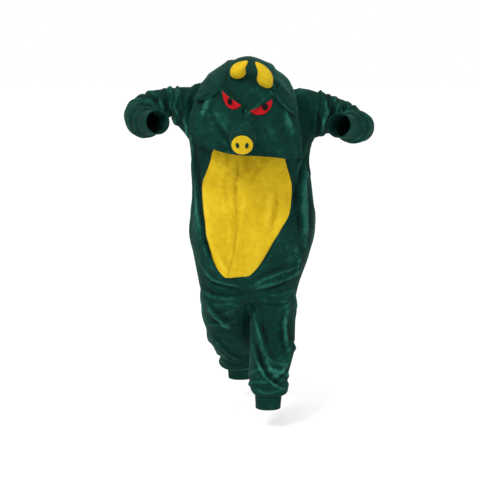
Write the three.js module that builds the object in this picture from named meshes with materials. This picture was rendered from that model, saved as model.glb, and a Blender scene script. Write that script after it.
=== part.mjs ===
// A child's buffalo onesie of velour fleece, hollow, in the pose of its wearer: arms lifted, one leg
// ahead of the other, and the deep hood bowed forward over the face.
// Millimetres, +Z up. The front faces -Y, so the wearer's left is +X and the wearer's right is -X.
// The origin is between the shoulders, at the base of the neck, where the wearer carries it.
import * as THREE from "three";

// Driving sizes of the cloth and its seams.
const CLOTH = 2.5;
const CUFF_CLOTH = 3;
const SEAM_GAP = 0.3;
const CHIN_GAP = 1.2;
const RIM = 0.87;

// Rows and columns of the cloth's grid.
const YOKE_ROWS = 8;
const SIDE_COLUMNS = 5;
const BELLY_COLUMNS = 4;
const SHOULDER_COLUMNS = 3;
const SLEEVE_STEP = 13;
const HOOD_ROWS = 18;
const HOOD_SHARES = [0, 0.05, 0.1, 0.15, 0.24, 0.36, 0.5, 0.59, 0.68, 0.77, 0.865, 0.958, 1];
const NECK_SIDE = 6;
const TOP_COLUMNS = 3;

const COLUMNS = SIDE_COLUMNS + BELLY_COLUMNS;

// The front closure: the left belly laps over the right one.
const LAP_WIDTH = 11;
const LAP_RISE = 3.1;
const CHIN_ROWS = 5;
const CHIN_COLUMNS = 4;

const COLOURS = {
  green: 0x14503f,
  yellow: 0xd6b928,
  red: 0xa3161c,
  black: 0x101010,
};

const SIDES = { right: -1, left: 1 };

// A table with named columns: one object for each row.
function table(columns, rows) {
  const names = columns.split(" ");
  return rows.map((row) => Object.fromEntries(names.map((name, i) => [name, row[i]])));
}

// The trunk, from the underarm down to the crotch. Each row is one level round the body: its side seams,
// its centre front and centre back, how far (degrees) each front or back quarter turns under, and how many
// rows of the grid lead up to it.
const TRUNK = table(
  "rightX rightZ leftX leftZ seamX frontY frontZ backY backZ sideY turn rows",
  [
    [-176, -128, 178, -140, -18, -118, -255, 98, -118, 0, 90, 0],
    [-173, -185, 173, -190, -21, -124, -295, 106, -175, 0, 90, 3],
    [-162, -245, 181, -245, -24, -128, -335, 112, -235, 2, 90, 3],
    [-165, -303, 189, -300, -28, -127, -375, 117, -295, 4, 90, 3],
    [-174, -360, 190, -358, -33, -124, -415, 122, -352, 6, 90, 3],
    [-176, -400, 184, -415, -40, -118, -460, 127, -410, 8, 90, 3],
    [-170, -440, 170, -476, -49, -107, -508, 126, -462, 8, 90, 3],
    [-159, -497, 153, -522, -12, -99, -537, 118, -505, 7, 90, 2],
    [-150, -545, 142, -556, 0, -93, -562, 109, -545, 6, 96, 2],
    [-144, -582, 136, -590, 0, -84, -592, 98, -582, 6, 140, 2],
    [-140, -618, 133, -622, 0, -77, -606, 89, -606, 6, 180, 2],
  ],
);

// The legs, from below the crotch to the hem of the cuff. Each row is one level ring of a leg.
const LEG_COLUMNS = "x y sideZ innerZ wide front back";
const LEGS = {
  right: table(LEG_COLUMNS, [
    [-69, 24, -655, -646, 68, 73, 73],
    [-63, 46, -695, -690, 67.5, 66, 68],
    [-55, 72, -735, -733, 67, 62, 64],
    [-45, 101, -768, -768, 62, 58, 60],
    [-36, 128, -800, -800, 56, 55, 57],
    [-32, 148, -824, -824, 61, 59, 60],
    [-31, 160, -839, -839, 55, 53, 54],
  ]),
  left: table(LEG_COLUMNS, [
    [67.5, -6, -655, -646, 66.5, 72, 72],
    [66.5, -24, -695, -690, 66, 66, 68],
    [66, -42, -735, -733, 65, 63, 64],
    [59, -62, -773, -773, 61, 60, 60],
    [53, -80, -808, -808, 57, 58, 58],
    [55, -93, -834, -834, 57, 57, 57],
    [57, -99, -848, -848, 51, 50, 50],
  ]),
};
const LEG_CUFFS = {
  right: table(LEG_COLUMNS, [
    [-29, 163, -843, -843, 40, 39, 40],
    [-29, 171, -861, -861, 38, 38, 38],
    [-28, 179, -880, -880, 38, 38, 38],
  ]),
  left: table(LEG_COLUMNS, [
    [53, -101, -852, -852, 40, 40, 40],
    [52.5, -106, -870, -870, 38, 38, 38],
    [52, -110, -889, -889, 37, 38, 38],
  ]),
};
const CUFF_ROWS = 4;

// Where the yellow belly ends on each side, by height.
const BELLY = table("z rightX leftX", [
  [-92, -84, 84],
  [-142, -104, 94],
  [-191, -119, 102],
  [-235, -147, 123],
  [-272, -153, 136],
  [-303, -145, 126],
  [-348, -128, 100],
  [-393, -124, 73],
  [-438, -114, 51],
  [-480, -98, 24],
  [-512, -64, -8],
]);
const BELLY_END = 6;

// Armholes: the shoulder tip, and how deep the opening reaches to the front and the back.
const ARMHOLES = {
  right: { tip: [-145, 2, 36], front: 52, back: 62, swell: 7 },
  left: { tip: [143, 2, 22], front: 52, back: 62, swell: 7 },
};
const RELAX_ABOVE = -320;
const YOKE_SWELL = { front: -4, back: 14 };

// The sleeves: centre and half sizes of the tube, from just outside the armhole to the cuff.
const SLEEVE_COLUMNS = "x y z high wide";
const SLEEVES = {
  right: table(SLEEVE_COLUMNS, [
    [-190, 2, -34, 58, 60],
    [-222, 0, -22, 42, 50],
    [-262, -6, -29, 40, 46],
    [-298, -22, -39, 41, 42],
    [-317, -56, -49, 42, 36],
    [-313, -96, -57, 43, 39],
    [-298, -134, -64, 44, 44],
    [-281, -168, -68, 41, 43],
  ]),
  left: table(SLEEVE_COLUMNS, [
    [197, 2, -57, 62, 58],
    [226, 0, -58, 54, 52],
    [258, -6, -66, 46, 46],
    [291, -24, -76, 41, 42],
    [309, -58, -82, 39, 36],
    [304, -98, -84, 39, 40],
    [288, -136, -83, 41, 44],
    [269, -169, -79, 41, 43],
  ]),
};
const SLEEVE_CUFFS = {
  right: table(SLEEVE_COLUMNS, [
    [-275, -179, -67, 34, 37],
    [-263, -195, -65, 34, 38],
    [-251, -210, -63, 35, 40],
  ]),
  left: table(SLEEVE_COLUMNS, [
    [262, -180, -78, 34, 37],
    [250, -196, -75, 34, 38],
    [238, -211, -72, 35, 40],
  ]),
};

const RIDGE = 1.5;

// Rings of cloth bunched along a sleeve: how far from the armhole, how high and wide the ridge stands,
// the side of the arm where it is highest (degrees round from the top), and how it leans along the arm.
const SLEEVE_RIDGES = {
  right: table("at rise width facing lean", [
    [14, 9, 9, -10, 8],
    [45, 8, 9, 20, 14],
    [76, 7, 9, -15, 12],
    [108, 8, 10, 30, -12],
    [146, 6, 11, 10, 10],
    [196, 6, 11, 150, 16],
    [238, 6, 10, 60, -10],
    [272, 8, 9, 0, 6],
  ]),
  left: table("at rise width facing lean", [
    [12, 8, 10, 10, -8],
    [42, 9, 9, -20, 12],
    [70, 7, 8, 15, -14],
    [98, 8, 9, -25, 12],
    [128, 7, 9, 20, 8],
    [176, 6, 11, 140, -16],
    [226, 6, 10, 70, 10],
    [262, 8, 9, 0, -6],
  ]),
};

// The hood: one arch for each row, from the neckline over the head to the brim. An arch runs from the
// crown down over the widest point of the side to the free edge round the face.
const HOOD = table(
  "crownX crownY crownZ rightX rightY rightZ rightEdgeX rightEdgeY rightEdgeZ " +
    "leftX leftY leftZ leftEdgeX leftEdgeY leftEdgeZ",
  [
    [0, 62, 34, -88, -4, 40, -8, -117, -151, 88, -4, 32, -8, -117, -151],
    [0, 66, 68, -104, -18, 58, -11, -125, -139, 100, -18, 48, -5, -125, -139],
    [0, 42, 96, -121, -44, 50, -18, -133, -128, 112, -44, 36, 3, -133, -129],
    [-3, -8, 110, -135, -72, 38, -48, -141, -121, 120, -74, 18, 33, -142, -131],
    [-6, -66, 112, -144, -97, 22, -81, -149, -113, 125, -100, -3, 66, -151, -133],
    [-9, -126, 98, -150, -120, 5, -112, -157, -106, 128, -124, -22, 96, -159, -136],
    [-13, -179, 66, -157, -143, -13, -134, -165, -98, 131, -147, -44, 112, -168, -138],
    [-18, -215, 12, -163, -167, -35, -152, -176, -94, 135, -169, -70, 126, -179, -140],
    [-21, -236, -43, -168, -186, -56, -164, -184, -92, 139, -188, -96, 136, -186, -140],
    [-20, -247, -103, -166, -202, -79, -167, -190, -94, 138, -203, -132, 142, -191, -151],
    [-15, -250, -151, -132, -224, -118, -169, -196, -98, 110, -224, -166, 145, -198, -160],
  ],
);
const CROWN_ARCH = 1.3;
const HOOD_ARCH = 0.92;
const NECK_ARCH = 0.8;

// Trim on the hood, placed by where it lies as seen from the front (x, z).
// Eyes: outlines of flat felt, and the pupil's centre and half sizes.
const FELT = 1.6;
const TRIM_GAP = 0.45;
const FELT_GAP = 1.1;
const FOOT_GAP = 1.1;
const FOOT_RINGS = [0.34, 0.68, 1];
const EYES = {
  right: [
    [-75, 18], [-62, 4], [-47, -7], [-32, -14], [-24, -19], [-33, -26], [-51, -31], [-65, -21], [-74, -3],
  ],
  left: [
    [-3, -34], [12, -29], [28, -20], [44, -11], [57, -3], [58, -16], [50, -32], [34, -44], [14, -44],
    [0, -38],
  ],
};
const PUPILS = {
  right: { at: [-55, -10], wide: 7, high: 8 },
  left: { at: [37, -23], wide: 8, high: 9.5 },
};

// Horns: where the base sits, and the bent centre line with its half size, from base to tip.
const HORN_COLUMNS = "x y z size";
const HORNS = {
  right: table(HORN_COLUMNS, [
    [-34, -1, 65, 22],
    [-35, -17, 71, 22.5],
    [-34, -32, 78, 20],
    [-27, -43, 87, 14.5],
    [-18, -49, 93, 9],
    [-11, -52, 98, 3.5],
  ]),
  left: table(HORN_COLUMNS, [
    [38, -1, 44, 23],
    [38.5, -17, 53, 23.5],
    [37.5, -31, 63, 19.5],
    [32, -42, 75, 14.5],
    [23, -49, 87, 9],
    [14, -53, 95, 3.5],
  ]),
};
const HORN_SIDES = 12;

// Ears: the middle line of the blade, how wide it is, and how far it stands off the hood.
const EAR_CLOTH = 4.5;
const EAR_COLUMNS = "x z wide off";
const EARS = {
  right: table(EAR_COLUMNS, [
    [-90, 26, 11, 0.6],
    [-103, 19, 15, 2.5],
    [-118, 9, 15, 5],
    [-132, -1, 11, 8],
    [-144, -10, 4, 12],
  ]),
  left: table(EAR_COLUMNS, [
    [67, 24, 12, 0.6],
    [78, 11, 17, 2.5],
    [91, -7, 18, 5],
    [104, -28, 13, 8],
    [115, -47, 5, 12],
  ]),
};

// The snout: a stuffed tube that points forward and down, with a flat yellow end and two nostrils.
const SNOUT = { from: [-22, -246, -101], toward: [-0.03, -0.9, -0.43], size: 34, length: 41, sides: 24 };
const SNOUT_DISC = { size: 29.5, thick: 4 };
const NOSTRIL = { apart: 12.5, wide: 4.6, high: 8.5, lean: 12, thick: 2 };

// The brow: the hood's middle panel ends in a V between the eyes. Rows of the grid bend to follow it.
const BROW_ROW = 13;
const BROW_POINT = 0.55;
const BROW_CORNER = -0.7;
const BROW_FADE = 0.6;

// The largest folds of the trunk and legs, as seen from the front (x, z), and then from the back.
// A rise above 0 is a ridge, and below 0 a valley.
const FOLD_COLUMNS = "rise width path";
const FRONT_FOLDS = table(FOLD_COLUMNS, [
  [10, 15, [[-150, -250], [-148, -342], [-138, -407], [-126, -455], [-100, -496]]],
  [8, 13, [[-149, -500], [-120, -536], [-84, -570]]],
  [-15, 15, [[160, -178], [138, -235], [130, -292], [139, -345], [158, -407]]],
  [7, 14, [[112, -190], [112, -240], [104, -330]]],
  [7, 13, [[146, -440], [149, -478], [122, -500]]],
  [11, 14, [[2, -532], [33, -504], [65, -487], [104, -474]]],
  [9, 13, [[-13, -529], [-71, -509], [-118, -482]]],
  [-11, 13, [[-12, -541], [-71, -552], [-125, -540]]],
  [8, 14, [[6, -548], [60, -541], [110, -520], [140, -494]]],
  [-9, 13, [[30, -526], [80, -510], [125, -492]]],
  [9, 14, [[-140, -577], [-101, -624], [-62, -661]]],
  [-11, 20, [[-12, -606], [-42, -682], [-80, -728]]],
  [7, 14, [[-132, -664], [-90, -682], [-40, -668]]],
  [9, 13, [[-112, -722], [-82, -760], [-50, -790]]],
  [7, 13, [[6, -636], [24, -676], [44, -722]]],
  [10, 13, [[4, -694], [20, -757], [47, -805], [92, -838]]],
  [-7, 12, [[30, -712], [48, -758], [84, -796]]],
  [7, 13, [[118, -585], [94, -648], [110, -700]]],
  [6, 13, [[112, -752], [92, -778], [70, -806]]],
  [-7, 16, [[-40, -185], [-62, -225], [-52, -262]]],
  [6, 16, [[-14, -190], [-30, -232], [-26, -275]]],
]);
const BACK_FOLDS = table(FOLD_COLUMNS, [
  [9, 17, [[-118, -40], [-96, -140], [-104, -260], [-120, -350]]],
  [9, 17, [[112, -60], [90, -160], [98, -270], [122, -352]]],
  [-9, 18, [[-62, -70], [-50, -190], [-66, -300]]],
  [-8, 18, [[58, -84], [46, -200], [62, -320]]],
  [8, 15, [[-150, -380], [-90, -430], [-20, -470]]],
  [8, 15, [[150, -396], [96, -440], [24, -486]]],
  [-9, 14, [[-140, -440], [-80, -492], [-18, -530]]],
  [9, 14, [[140, -462], [84, -516], [16, -560]]],
  [9, 14, [[-136, -560], [-84, -590], [-24, -600]]],
  [8, 14, [[128, -600], [78, -622], [22, -618]]],
  [-9, 16, [[-110, -640], [-60, -662], [-14, -650]]],
  [8, 14, [[-108, -700], [-66, -728], [-16, -722]]],
  [9, 14, [[112, -668], [72, -700], [26, -690]]],
  [8, 13, [[-86, -780], [-44, -806], [2, -790]]],
  [9, 13, [[98, -756], [58, -790], [14, -774]]],
]);

const point = (x, y, z) => new THREE.Vector3(x, y, z);
const mix = (a, b, t) => a + (b - a) * t;
const ease = (t) => t * t * (3 - 2 * t);
const clamp = (t) => Math.min(1, Math.max(0, t));
const radians = THREE.MathUtils.degToRad;
const bell = (distance, width) => Math.exp(-((distance / width) ** 2));
const rounded = (value, power) => Math.sign(value) * Math.abs(value) ** power;

// A row of a table at any place t along it, on a smooth curve through the table's own rows.
function between(stations, t) {
  const last = stations.length - 1;
  const i = Math.min(Math.floor(t), last - 1);
  const f = t - i;
  const [a, b, c, d] = [i - 1, i, i + 1, i + 2].map((k) => stations[Math.min(last, Math.max(0, k))]);
  const value = (k) =>
    b[k] +
    0.5 *
      f *
      (c[k] - a[k] + f * (2 * a[k] - 5 * b[k] + 4 * c[k] - d[k] + f * (3 * (b[k] - c[k]) + d[k] - a[k])));
  return Object.fromEntries(Object.keys(b).map((k) => [k, value(k)]));
}

// A column of a table that is keyed by height, as a straight line between its rows.
function atHeight(rows, column, z) {
  const i = Math.min(rows.length - 2, Math.max(0, rows.findIndex((row) => row.z <= z) - 1));
  return mix(rows[i][column], rows[i + 1][column], clamp((z - rows[i].z) / (rows[i + 1].z - rows[i].z)));
}

// The sewn surface: points that neighbouring pieces share, and the quads of each piece.
class Surface {
  constructor() {
    this.points = [];
    this.quads = [];
    this.index = new Map();
  }

  add(p) {
    const key = [p.x, p.y, p.z].map((v) => Math.round(v * 100 + 0.17)).join(",");
    if (!this.index.has(key)) {
      this.index.set(key, this.points.length);
      this.points.push(p.clone());
    }
    return this.index.get(key);
  }

  // Adds a grid of rows. centres holds a point inside the cloth for each row, so that faces point out.
  patch(rows, centres, pieceOf) {
    const ids = rows.map((row) => row.map((p) => this.add(p)));
    const quads = [];
    let outward = 0;
    for (let i = 0; i + 1 < rows.length; i++) {
      for (let j = 0; j + 1 < rows[i].length; j++) {
        const corners = [ids[i][j], ids[i][j + 1], ids[i + 1][j + 1], ids[i + 1][j]];
        const normal = this.faceNormal(corners);
        outward += normal.dot(rows[i][j].clone().sub(centres[i]));
        quads.push({ piece: pieceOf(i, j), corners });
      }
    }
    if (outward < 0) quads.forEach((quad) => quad.corners.reverse());
    this.quads.push(...quads);
    return ids;
  }

  faceNormal([a, b, c, d]) {
    const across = this.points[c].clone().sub(this.points[a]);
    return across.cross(this.points[d].clone().sub(this.points[b])).multiplyScalar(0.5);
  }

  // The normal at each point, from all the quads that meet there.
  findNormals() {
    this.normals = this.points.map(() => point(0, 0, 0));
    for (const { corners } of this.quads) {
      const normal = this.faceNormal(corners);
      corners.forEach((id) => this.normals[id].add(normal));
    }
    this.normals.forEach((normal) => normal.normalize());
  }

  // Moves each point along its normal, by what height says for that point.
  raise(height) {
    this.findNormals();
    this.points = this.points.map((p, id) => {
      const normal = this.normals[id];
      return p.clone().addScaledVector(normal, height(p, normal));
    });
    this.findNormals();
  }

  // Moves each of the given points part of the way to the middle of its neighbours.
  relax(ids, share, rounds) {
    const near = new Map([...ids].map((id) => [id, new Set()]));
    for (const { corners } of this.quads) {
      corners.forEach((id, k) => near.get(id)?.add(corners[(k + 1) % 4]).add(corners[(k + 3) % 4]));
    }
    for (let round = 0; round < rounds; round++) {
      const moved = [...near].map(([id, others]) => {
        const middle = [...others].reduce((sum, other) => sum.add(this.points[other]), point(0, 0, 0));
        return [id, this.points[id].clone().lerp(middle.divideScalar(others.size), share)];
      });
      moved.forEach(([id, p]) => (this.points[id] = p));
    }
  }

  quadsOf(piece) {
    return this.quads.filter((quad) => quad.piece === piece).map((quad) => quad.corners);
  }
}

const surface = new Surface();

// The arch of the hood at row v, at a share u of the way from the crown to the free edge.
function hoodPoint(side, v, u) {
  const row = between(HOOD, v);
  const crown = point(row.crownX, row.crownY, row.crownZ);
  const widest = point(row[`${side}X`], row[`${side}Y`], row[`${side}Z`]);
  const edge = point(row[`${side}EdgeX`], row[`${side}EdgeY`], row[`${side}EdgeZ`]);
  const arch = mix(NECK_ARCH, HOOD_ARCH, clamp(v));
  if (u <= 0.5) {
    const angle = Math.PI * u;
    const [out, down] = [rounded(Math.sin(angle), CROWN_ARCH), 1 - rounded(Math.cos(angle), CROWN_ARCH)];
    return point(mix(crown.x, widest.x, out), mix(crown.y, widest.y, down), mix(crown.z, widest.z, down));
  }
  const angle = Math.PI * (u - 0.5);
  const [down, inward] = [rounded(Math.sin(angle), arch), 1 - rounded(Math.cos(angle), arch)];
  return point(mix(widest.x, edge.x, inward), mix(widest.y, edge.y, down), mix(widest.z, edge.z, down));
}

// One quarter of a level ring, front or back, from the side seam to the centre seam or inside leg.
function ringQuarter(ring, shares) {
  return shares.map((share) => {
    const angle = radians(ring.turn) * share;
    return point(
      ring.x + ring.sign * ring.wide * rounded(Math.cos(angle), RIM),
      ring.y + ring.face * ring.deep * rounded(Math.sin(angle), RIM),
      mix(ring.sideZ, ring.innerZ, ease(share)),
    );
  });
}

// The ring of the trunk at station t, for one side and one face (-1 front, 1 back).
function trunkRing(side, face, t) {
  const row = between(TRUNK, t);
  const sign = SIDES[side];
  const turn = Math.min(180, Math.max(90, row.turn));
  const under = -rounded(Math.cos(radians(turn)), RIM);
  const seamX = face < 0 ? row.seamX : row.seamX / 4;
  const wide = (sign * (row[`${side}X`] - seamX)) / (1 + under);
  const y = row.sideY;
  return {
    sign,
    face,
    turn,
    wide,
    x: row[`${side}X`] - sign * wide,
    y,
    deep: face < 0 ? y - row.frontY : row.backY - y,
    sideZ: row[`${side}Z`],
    innerZ: face < 0 ? row.frontZ : row.backZ,
  };
}

// The share of the way round at which a ring crosses the belly's outline.
function bellyShare(side, ring) {
  const column = `${side}X`;
  let [low, high] = [0, 1];
  for (let step = 0; step < 30; step++) {
    const share = (low + high) / 2;
    const [p] = ringQuarter(ring, [share]);
    if (SIDES[side] * (p.x - atHeight(BELLY, column, p.z)) > 0) low = share;
    else high = share;
  }
  return (low + high) / 2;
}

// The shares of a ring's columns, with the seam column and the edge of the lap at the given shares.
function columnShares(seamShare, lapShare) {
  const shares = [];
  for (let c = 0; c <= SIDE_COLUMNS; c++) shares.push((seamShare * c) / SIDE_COLUMNS);
  for (let c = 1; c < BELLY_COLUMNS; c++) shares.push(mix(seamShare, lapShare, c / (BELLY_COLUMNS - 1)));
  return [...shares, 1];
}

const EVEN_SHARE = SIDE_COLUMNS / COLUMNS;
const EVEN_LAP = 1 - 1 / COLUMNS;
const trunkStation = (rowNumber) => {
  let before = 0;
  const k = TRUNK.findIndex((row) => (before += row.rows) >= rowNumber && row.rows > 0);
  return k - (before - rowNumber) / TRUNK[k].rows;
};
const TRUNK_ROWS = TRUNK.reduce((sum, row) => sum + row.rows, 0);
const BELLY_ROWS = YOKE_ROWS + TRUNK.slice(0, BELLY_END + 1).reduce((sum, row) => sum + row.rows, 0);

function trunkRow(side, face, t) {
  const ring = trunkRing(side, face, t);
  const past = ease(clamp((t - BELLY_END) / 2));
  const seamShare = face < 0 ? bellyShare(side, trunkRing(side, face, Math.min(t, BELLY_END))) : EVEN_SHARE;
  const lap = face < 0 ? 1 - (LAP_WIDTH / ring.wide) ** (1 / RIM) / radians(ring.turn) : EVEN_LAP;
  return ringQuarter(ring, columnShares(mix(seamShare, EVEN_SHARE, past), mix(lap, EVEN_LAP, past)));
}

// The armhole's edge, from the shoulder tip (share 0) to the underarm (share 1).
function armholePoint(side, face, share) {
  const { tip, front, back, swell } = ARMHOLES[side];
  const under = trunkRow(side, face, 0)[0];
  const bulge = Math.sin(Math.PI * share);
  return point(
    mix(tip[0], under.x, share) + SIDES[side] * swell * bulge,
    mix(tip[1], under.y, share) + face * (face < 0 ? front : back) * rounded(bulge, RIM),
    mix(tip[2], under.z, (1 - Math.cos(Math.PI * share)) / 2),
  );
}

// The top edge of a yoke: the shoulder seam, and then the neckline to the centre.
function yokeTop(side, face) {
  const tip = armholePoint(side, face, 0);
  const neck = hoodPoint(side, 0, 0.5);
  const row = [];
  for (let c = 0; c < SHOULDER_COLUMNS; c++) row.push(tip.clone().lerp(neck, c / SHOULDER_COLUMNS));
  const neckColumns = COLUMNS - SHOULDER_COLUMNS;
  for (let c = 0; c <= neckColumns; c++) row.push(hoodPoint(side, 0, HOOD_SHARES[NECK_SIDE - face * c]));
  return row;
}

// The yoke between shoulder, neckline, armhole and chest, blended from its four edges.
function yokeRows(side, face) {
  const top = yokeTop(side, face);
  const bottom = trunkRow(side, face, 0);
  const rows = [];
  for (let i = 0; i <= YOKE_ROWS; i++) {
    const f = i / YOKE_ROWS;
    const outer = armholePoint(side, face, f);
    const inner = top[COLUMNS].clone().lerp(bottom[COLUMNS], f);
    inner.y += face * 4 * Math.sin(Math.PI * f);
    rows.push(
      top.map((p, c) => {
        const w = c / COLUMNS;
        const rails = p.clone().lerp(bottom[c], f);
        const across = outer.clone().lerp(inner, w);
        const low = bottom[0].clone().lerp(bottom[COLUMNS], w);
        const corners = top[0].clone().lerp(top[COLUMNS], w).lerp(low, f);
        const blended = rails.add(across).sub(corners);
        const swell = face < 0 ? YOKE_SWELL.front : YOKE_SWELL.back;
        blended.y += face * swell * Math.sin(Math.PI * f) * Math.sin(Math.PI * w);
        return blended;
      }),
    );
  }
  return rows;
}

// A level ring of a leg, as a quarter from the side seam round to the inside leg.
function legRow(side, face, row) {
  const ring = { ...row, sign: SIDES[side], face, turn: 180, deep: face < 0 ? row.front : row.back };
  return ringQuarter(ring, columnShares(EVEN_SHARE, EVEN_LAP));
}

// The crotch row as a row of the leg tables, so that the leg grows out of it.
function crotchRing(side) {
  const row = TRUNK[TRUNK.length - 1];
  const half = row[`${side}X`] / 2;
  return {
    x: half,
    y: row.sideY,
    sideZ: row[`${side}Z`],
    innerZ: row.frontZ,
    wide: Math.abs(half),
    front: row.sideY - row.frontY,
    back: row.backY - row.sideY,
  };
}

// Front and back panels with their legs and leg cuffs.
const lapIds = [];
for (const side of Object.keys(SIDES)) {
  for (const [face, name] of [
    [-1, "front"],
    [1, "back"],
  ]) {
    const rows = yokeRows(side, face);
    const centres = rows.map((row) => point(SIDES[side] * 60, 0, row[0].z));
    for (let i = 1; i <= TRUNK_ROWS; i++) {
      const t = trunkStation(i);
      const ring = trunkRing(side, face, t);
      rows.push(trunkRow(side, face, t));
      centres.push(point(ring.x, ring.y, ring.sideZ));
    }
    const leg = [crotchRing(side), ...LEGS[side]];
    const addLegRow = (row) => {
      rows.push(legRow(side, face, row));
      centres.push(point(row.x, row.y, row.sideZ));
    };
    for (let i = 1; i <= (leg.length - 1) * 2; i++) addLegRow(between(leg, i / 2));
    const panelRows = rows.length - 1;
    const cuff = LEG_CUFFS[side];
    for (let i = 0; i <= CUFF_ROWS; i++) addLegRow(between(cuff, ((cuff.length - 1) * i) / CUFF_ROWS));
    const ids = surface.patch(rows, centres, (i, j) => {
      if (i > panelRows) return `leg_cuff_${side}`;
      if (face < 0 && i < BELLY_ROWS && j >= SIDE_COLUMNS) return `belly_${side}`;
      return `${name}_${side}`;
    });
    if (face < 0 && side === "right") {
      lapIds.push(...ids.slice(0, BELLY_ROWS + 1).map((row) => row.slice(COLUMNS - 1)));
    }
  }
}

// A ring of a sleeve: up and sideways from the tube's centre, square to the way that the arm runs.
function sleeveRing(side, row, along, distance) {
  const tangent = along.clone().normalize();
  const across = tangent.clone().cross(point(0, 0, 1)).normalize().multiplyScalar(SIDES[side]);
  const up = across.clone().cross(tangent).multiplyScalar(SIDES[side]).normalize();
  const steps = YOKE_ROWS * 2;
  const ring = [];
  for (let k = 0; k <= steps; k++) {
    const angle = (2 * Math.PI * k) / steps;
    let swell = 0;
    for (const { at, rise, width, facing, lean } of SLEEVE_RIDGES[side]) {
      const strength = 0.55 + 0.45 * Math.cos(angle - radians(facing));
      swell += RIDGE * rise * strength * bell(distance - at - lean * Math.sin(angle), width);
    }
    ring.push(
      point(row.x, row.y, row.z)
        .addScaledVector(up, (row.high + swell) * Math.cos(angle))
        .addScaledVector(across, (row.wide + swell) * Math.sin(angle)),
    );
  }
  return ring;
}

// Sleeves and their cuffs, which start on the armhole's own points.
for (const side of Object.keys(SIDES)) {
  const hole = [];
  for (let k = 0; k <= YOKE_ROWS; k++) hole.push(armholePoint(side, -1, k / YOKE_ROWS));
  for (let k = YOKE_ROWS - 1; k >= 0; k--) hole.push(armholePoint(side, 1, k / YOKE_ROWS));
  const centre = hole.reduce((sum, p) => sum.add(p), point(0, 0, 0)).divideScalar(hole.length);
  const stations = SLEEVES[side];
  const lead = { x: centre.x, y: centre.y, z: centre.z, high: stations[0].high, wide: stations[0].wide };
  const path = [lead, ...stations];
  const place = (list, t) => {
    const row = between(list, Math.min(list.length - 1, Math.max(0, t)));
    return point(row.x, row.y, row.z);
  };
  const rows = [hole];
  const centres = [centre];
  const lengths = [0];
  const samples = (path.length - 1) * 16;
  for (let i = 1; i <= samples; i++) {
    lengths.push(lengths[i - 1] + place(path, i / 16).distanceTo(place(path, (i - 1) / 16)));
  }
  const total = lengths[samples];
  const count = Math.round(total / SLEEVE_STEP);
  for (let i = 1; i <= count; i++) {
    const target = (total * i) / count;
    const after = Math.max(1, lengths.findIndex((value) => value >= target - 1e-9));
    const t = (after - 1 + (target - lengths[after - 1]) / (lengths[after] - lengths[after - 1])) / 16;
    const along = place(path, t + 0.1).sub(place(path, t - 0.1));
    const ring = sleeveRing(side, between(path, t), along, target);
    const settle = ease(clamp(t));
    rows.push(ring.map((p, k) => hole[k].clone().add(place(path, t)).sub(centre).lerp(p, settle)));
    centres.push(place(path, t));
  }
  const sleeveRows = rows.length - 1;
  const cuff = SLEEVE_CUFFS[side];
  const cuffAlong = place(cuff, cuff.length - 1).sub(place(cuff, 0));
  for (let i = 0; i < CUFF_ROWS; i++) {
    const t = ((cuff.length - 1) * i) / (CUFF_ROWS - 1);
    rows.push(sleeveRing(side, between(cuff, t), cuffAlong, Infinity));
    centres.push(place(cuff, t));
  }
  rows.forEach((row) => (row[row.length - 1] = row[0].clone()));
  surface.patch(rows, centres, (i) => (i > sleeveRows ? `sleeve_cuff_${side}` : `sleeve_${side}`));
}

// How far a row of the hood's grid is bent towards the brow's V.
function browBend(i, u) {
  const near = i <= BROW_ROW ? (i / BROW_ROW) ** 2 : (HOOD_ROWS - i) / (HOOD_ROWS - BROW_ROW);
  const corner = HOOD_SHARES[TOP_COLUMNS];
  const bend =
    u <= corner
      ? mix(BROW_POINT, BROW_CORNER, u / corner)
      : mix(BROW_CORNER, 0, ease(clamp((u - corner) / BROW_FADE)));
  return near * bend;
}

const hoodShare = (i) => ((HOOD.length - 1) * i) / HOOD_ROWS;

// The hood: a middle panel with the brow, two sides that meet below it, and the yellow chin ends.
const hoodIds = {};
for (const side of Object.keys(SIDES)) {
  const shares = HOOD_SHARES;
  const rows = [];
  const centres = [];
  for (let i = 0; i <= HOOD_ROWS; i++) {
    if (i === 0) rows.push(neckRow(side));
    else rows.push(shares.map((u) => hoodPoint(side, hoodShare(i) + browBend(i, u), u)));
    const arch = between(HOOD, hoodShare(i));
    centres.push(point(0, (arch.crownY + arch.rightEdgeY) / 2 + 30, (arch.crownZ + arch.rightEdgeZ) / 2));
  }
  hoodIds[side] = surface.patch(rows, centres, (i, j) => {
    if (j < TOP_COLUMNS && i < BROW_ROW) return "hood_top";
    if (i < CHIN_ROWS && j >= shares.length - 1 - CHIN_COLUMNS) return `chin_${side}`;
    return `hood_side_${side}`;
  });
}

// The hood's first row: the neckline's own points, back neck and front neck alike.
function neckRow(side) {
  return HOOD_SHARES.map((u) => hoodPoint(side, 0, u));
}

// How high a fold table stands at a point that faces its side of the garment.
function foldHeight(folds, p, facing) {
  if (facing <= 0) return 0;
  let height = 0;
  for (const { rise, width, path } of folds) {
    let nearest = { distance: Infinity, along: 0 };
    for (let i = 0; i + 1 < path.length; i++) {
      const [ax, az] = path[i];
      const [bx, bz] = path[i + 1];
      const run = (bx - ax) ** 2 + (bz - az) ** 2;
      const f = clamp(((p.x - ax) * (bx - ax) + (p.z - az) * (bz - az)) / run);
      const distance = Math.hypot(p.x - mix(ax, bx, f), p.z - mix(az, bz, f));
      if (distance < nearest.distance) nearest = { distance, along: (i + f) / (path.length - 1) };
    }
    const fade = 0.35 + 0.65 * Math.sin(Math.PI * nearest.along);
    height += rise * fade * bell(nearest.distance, width);
  }
  return height * ease(clamp(facing * 1.6));
}

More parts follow.
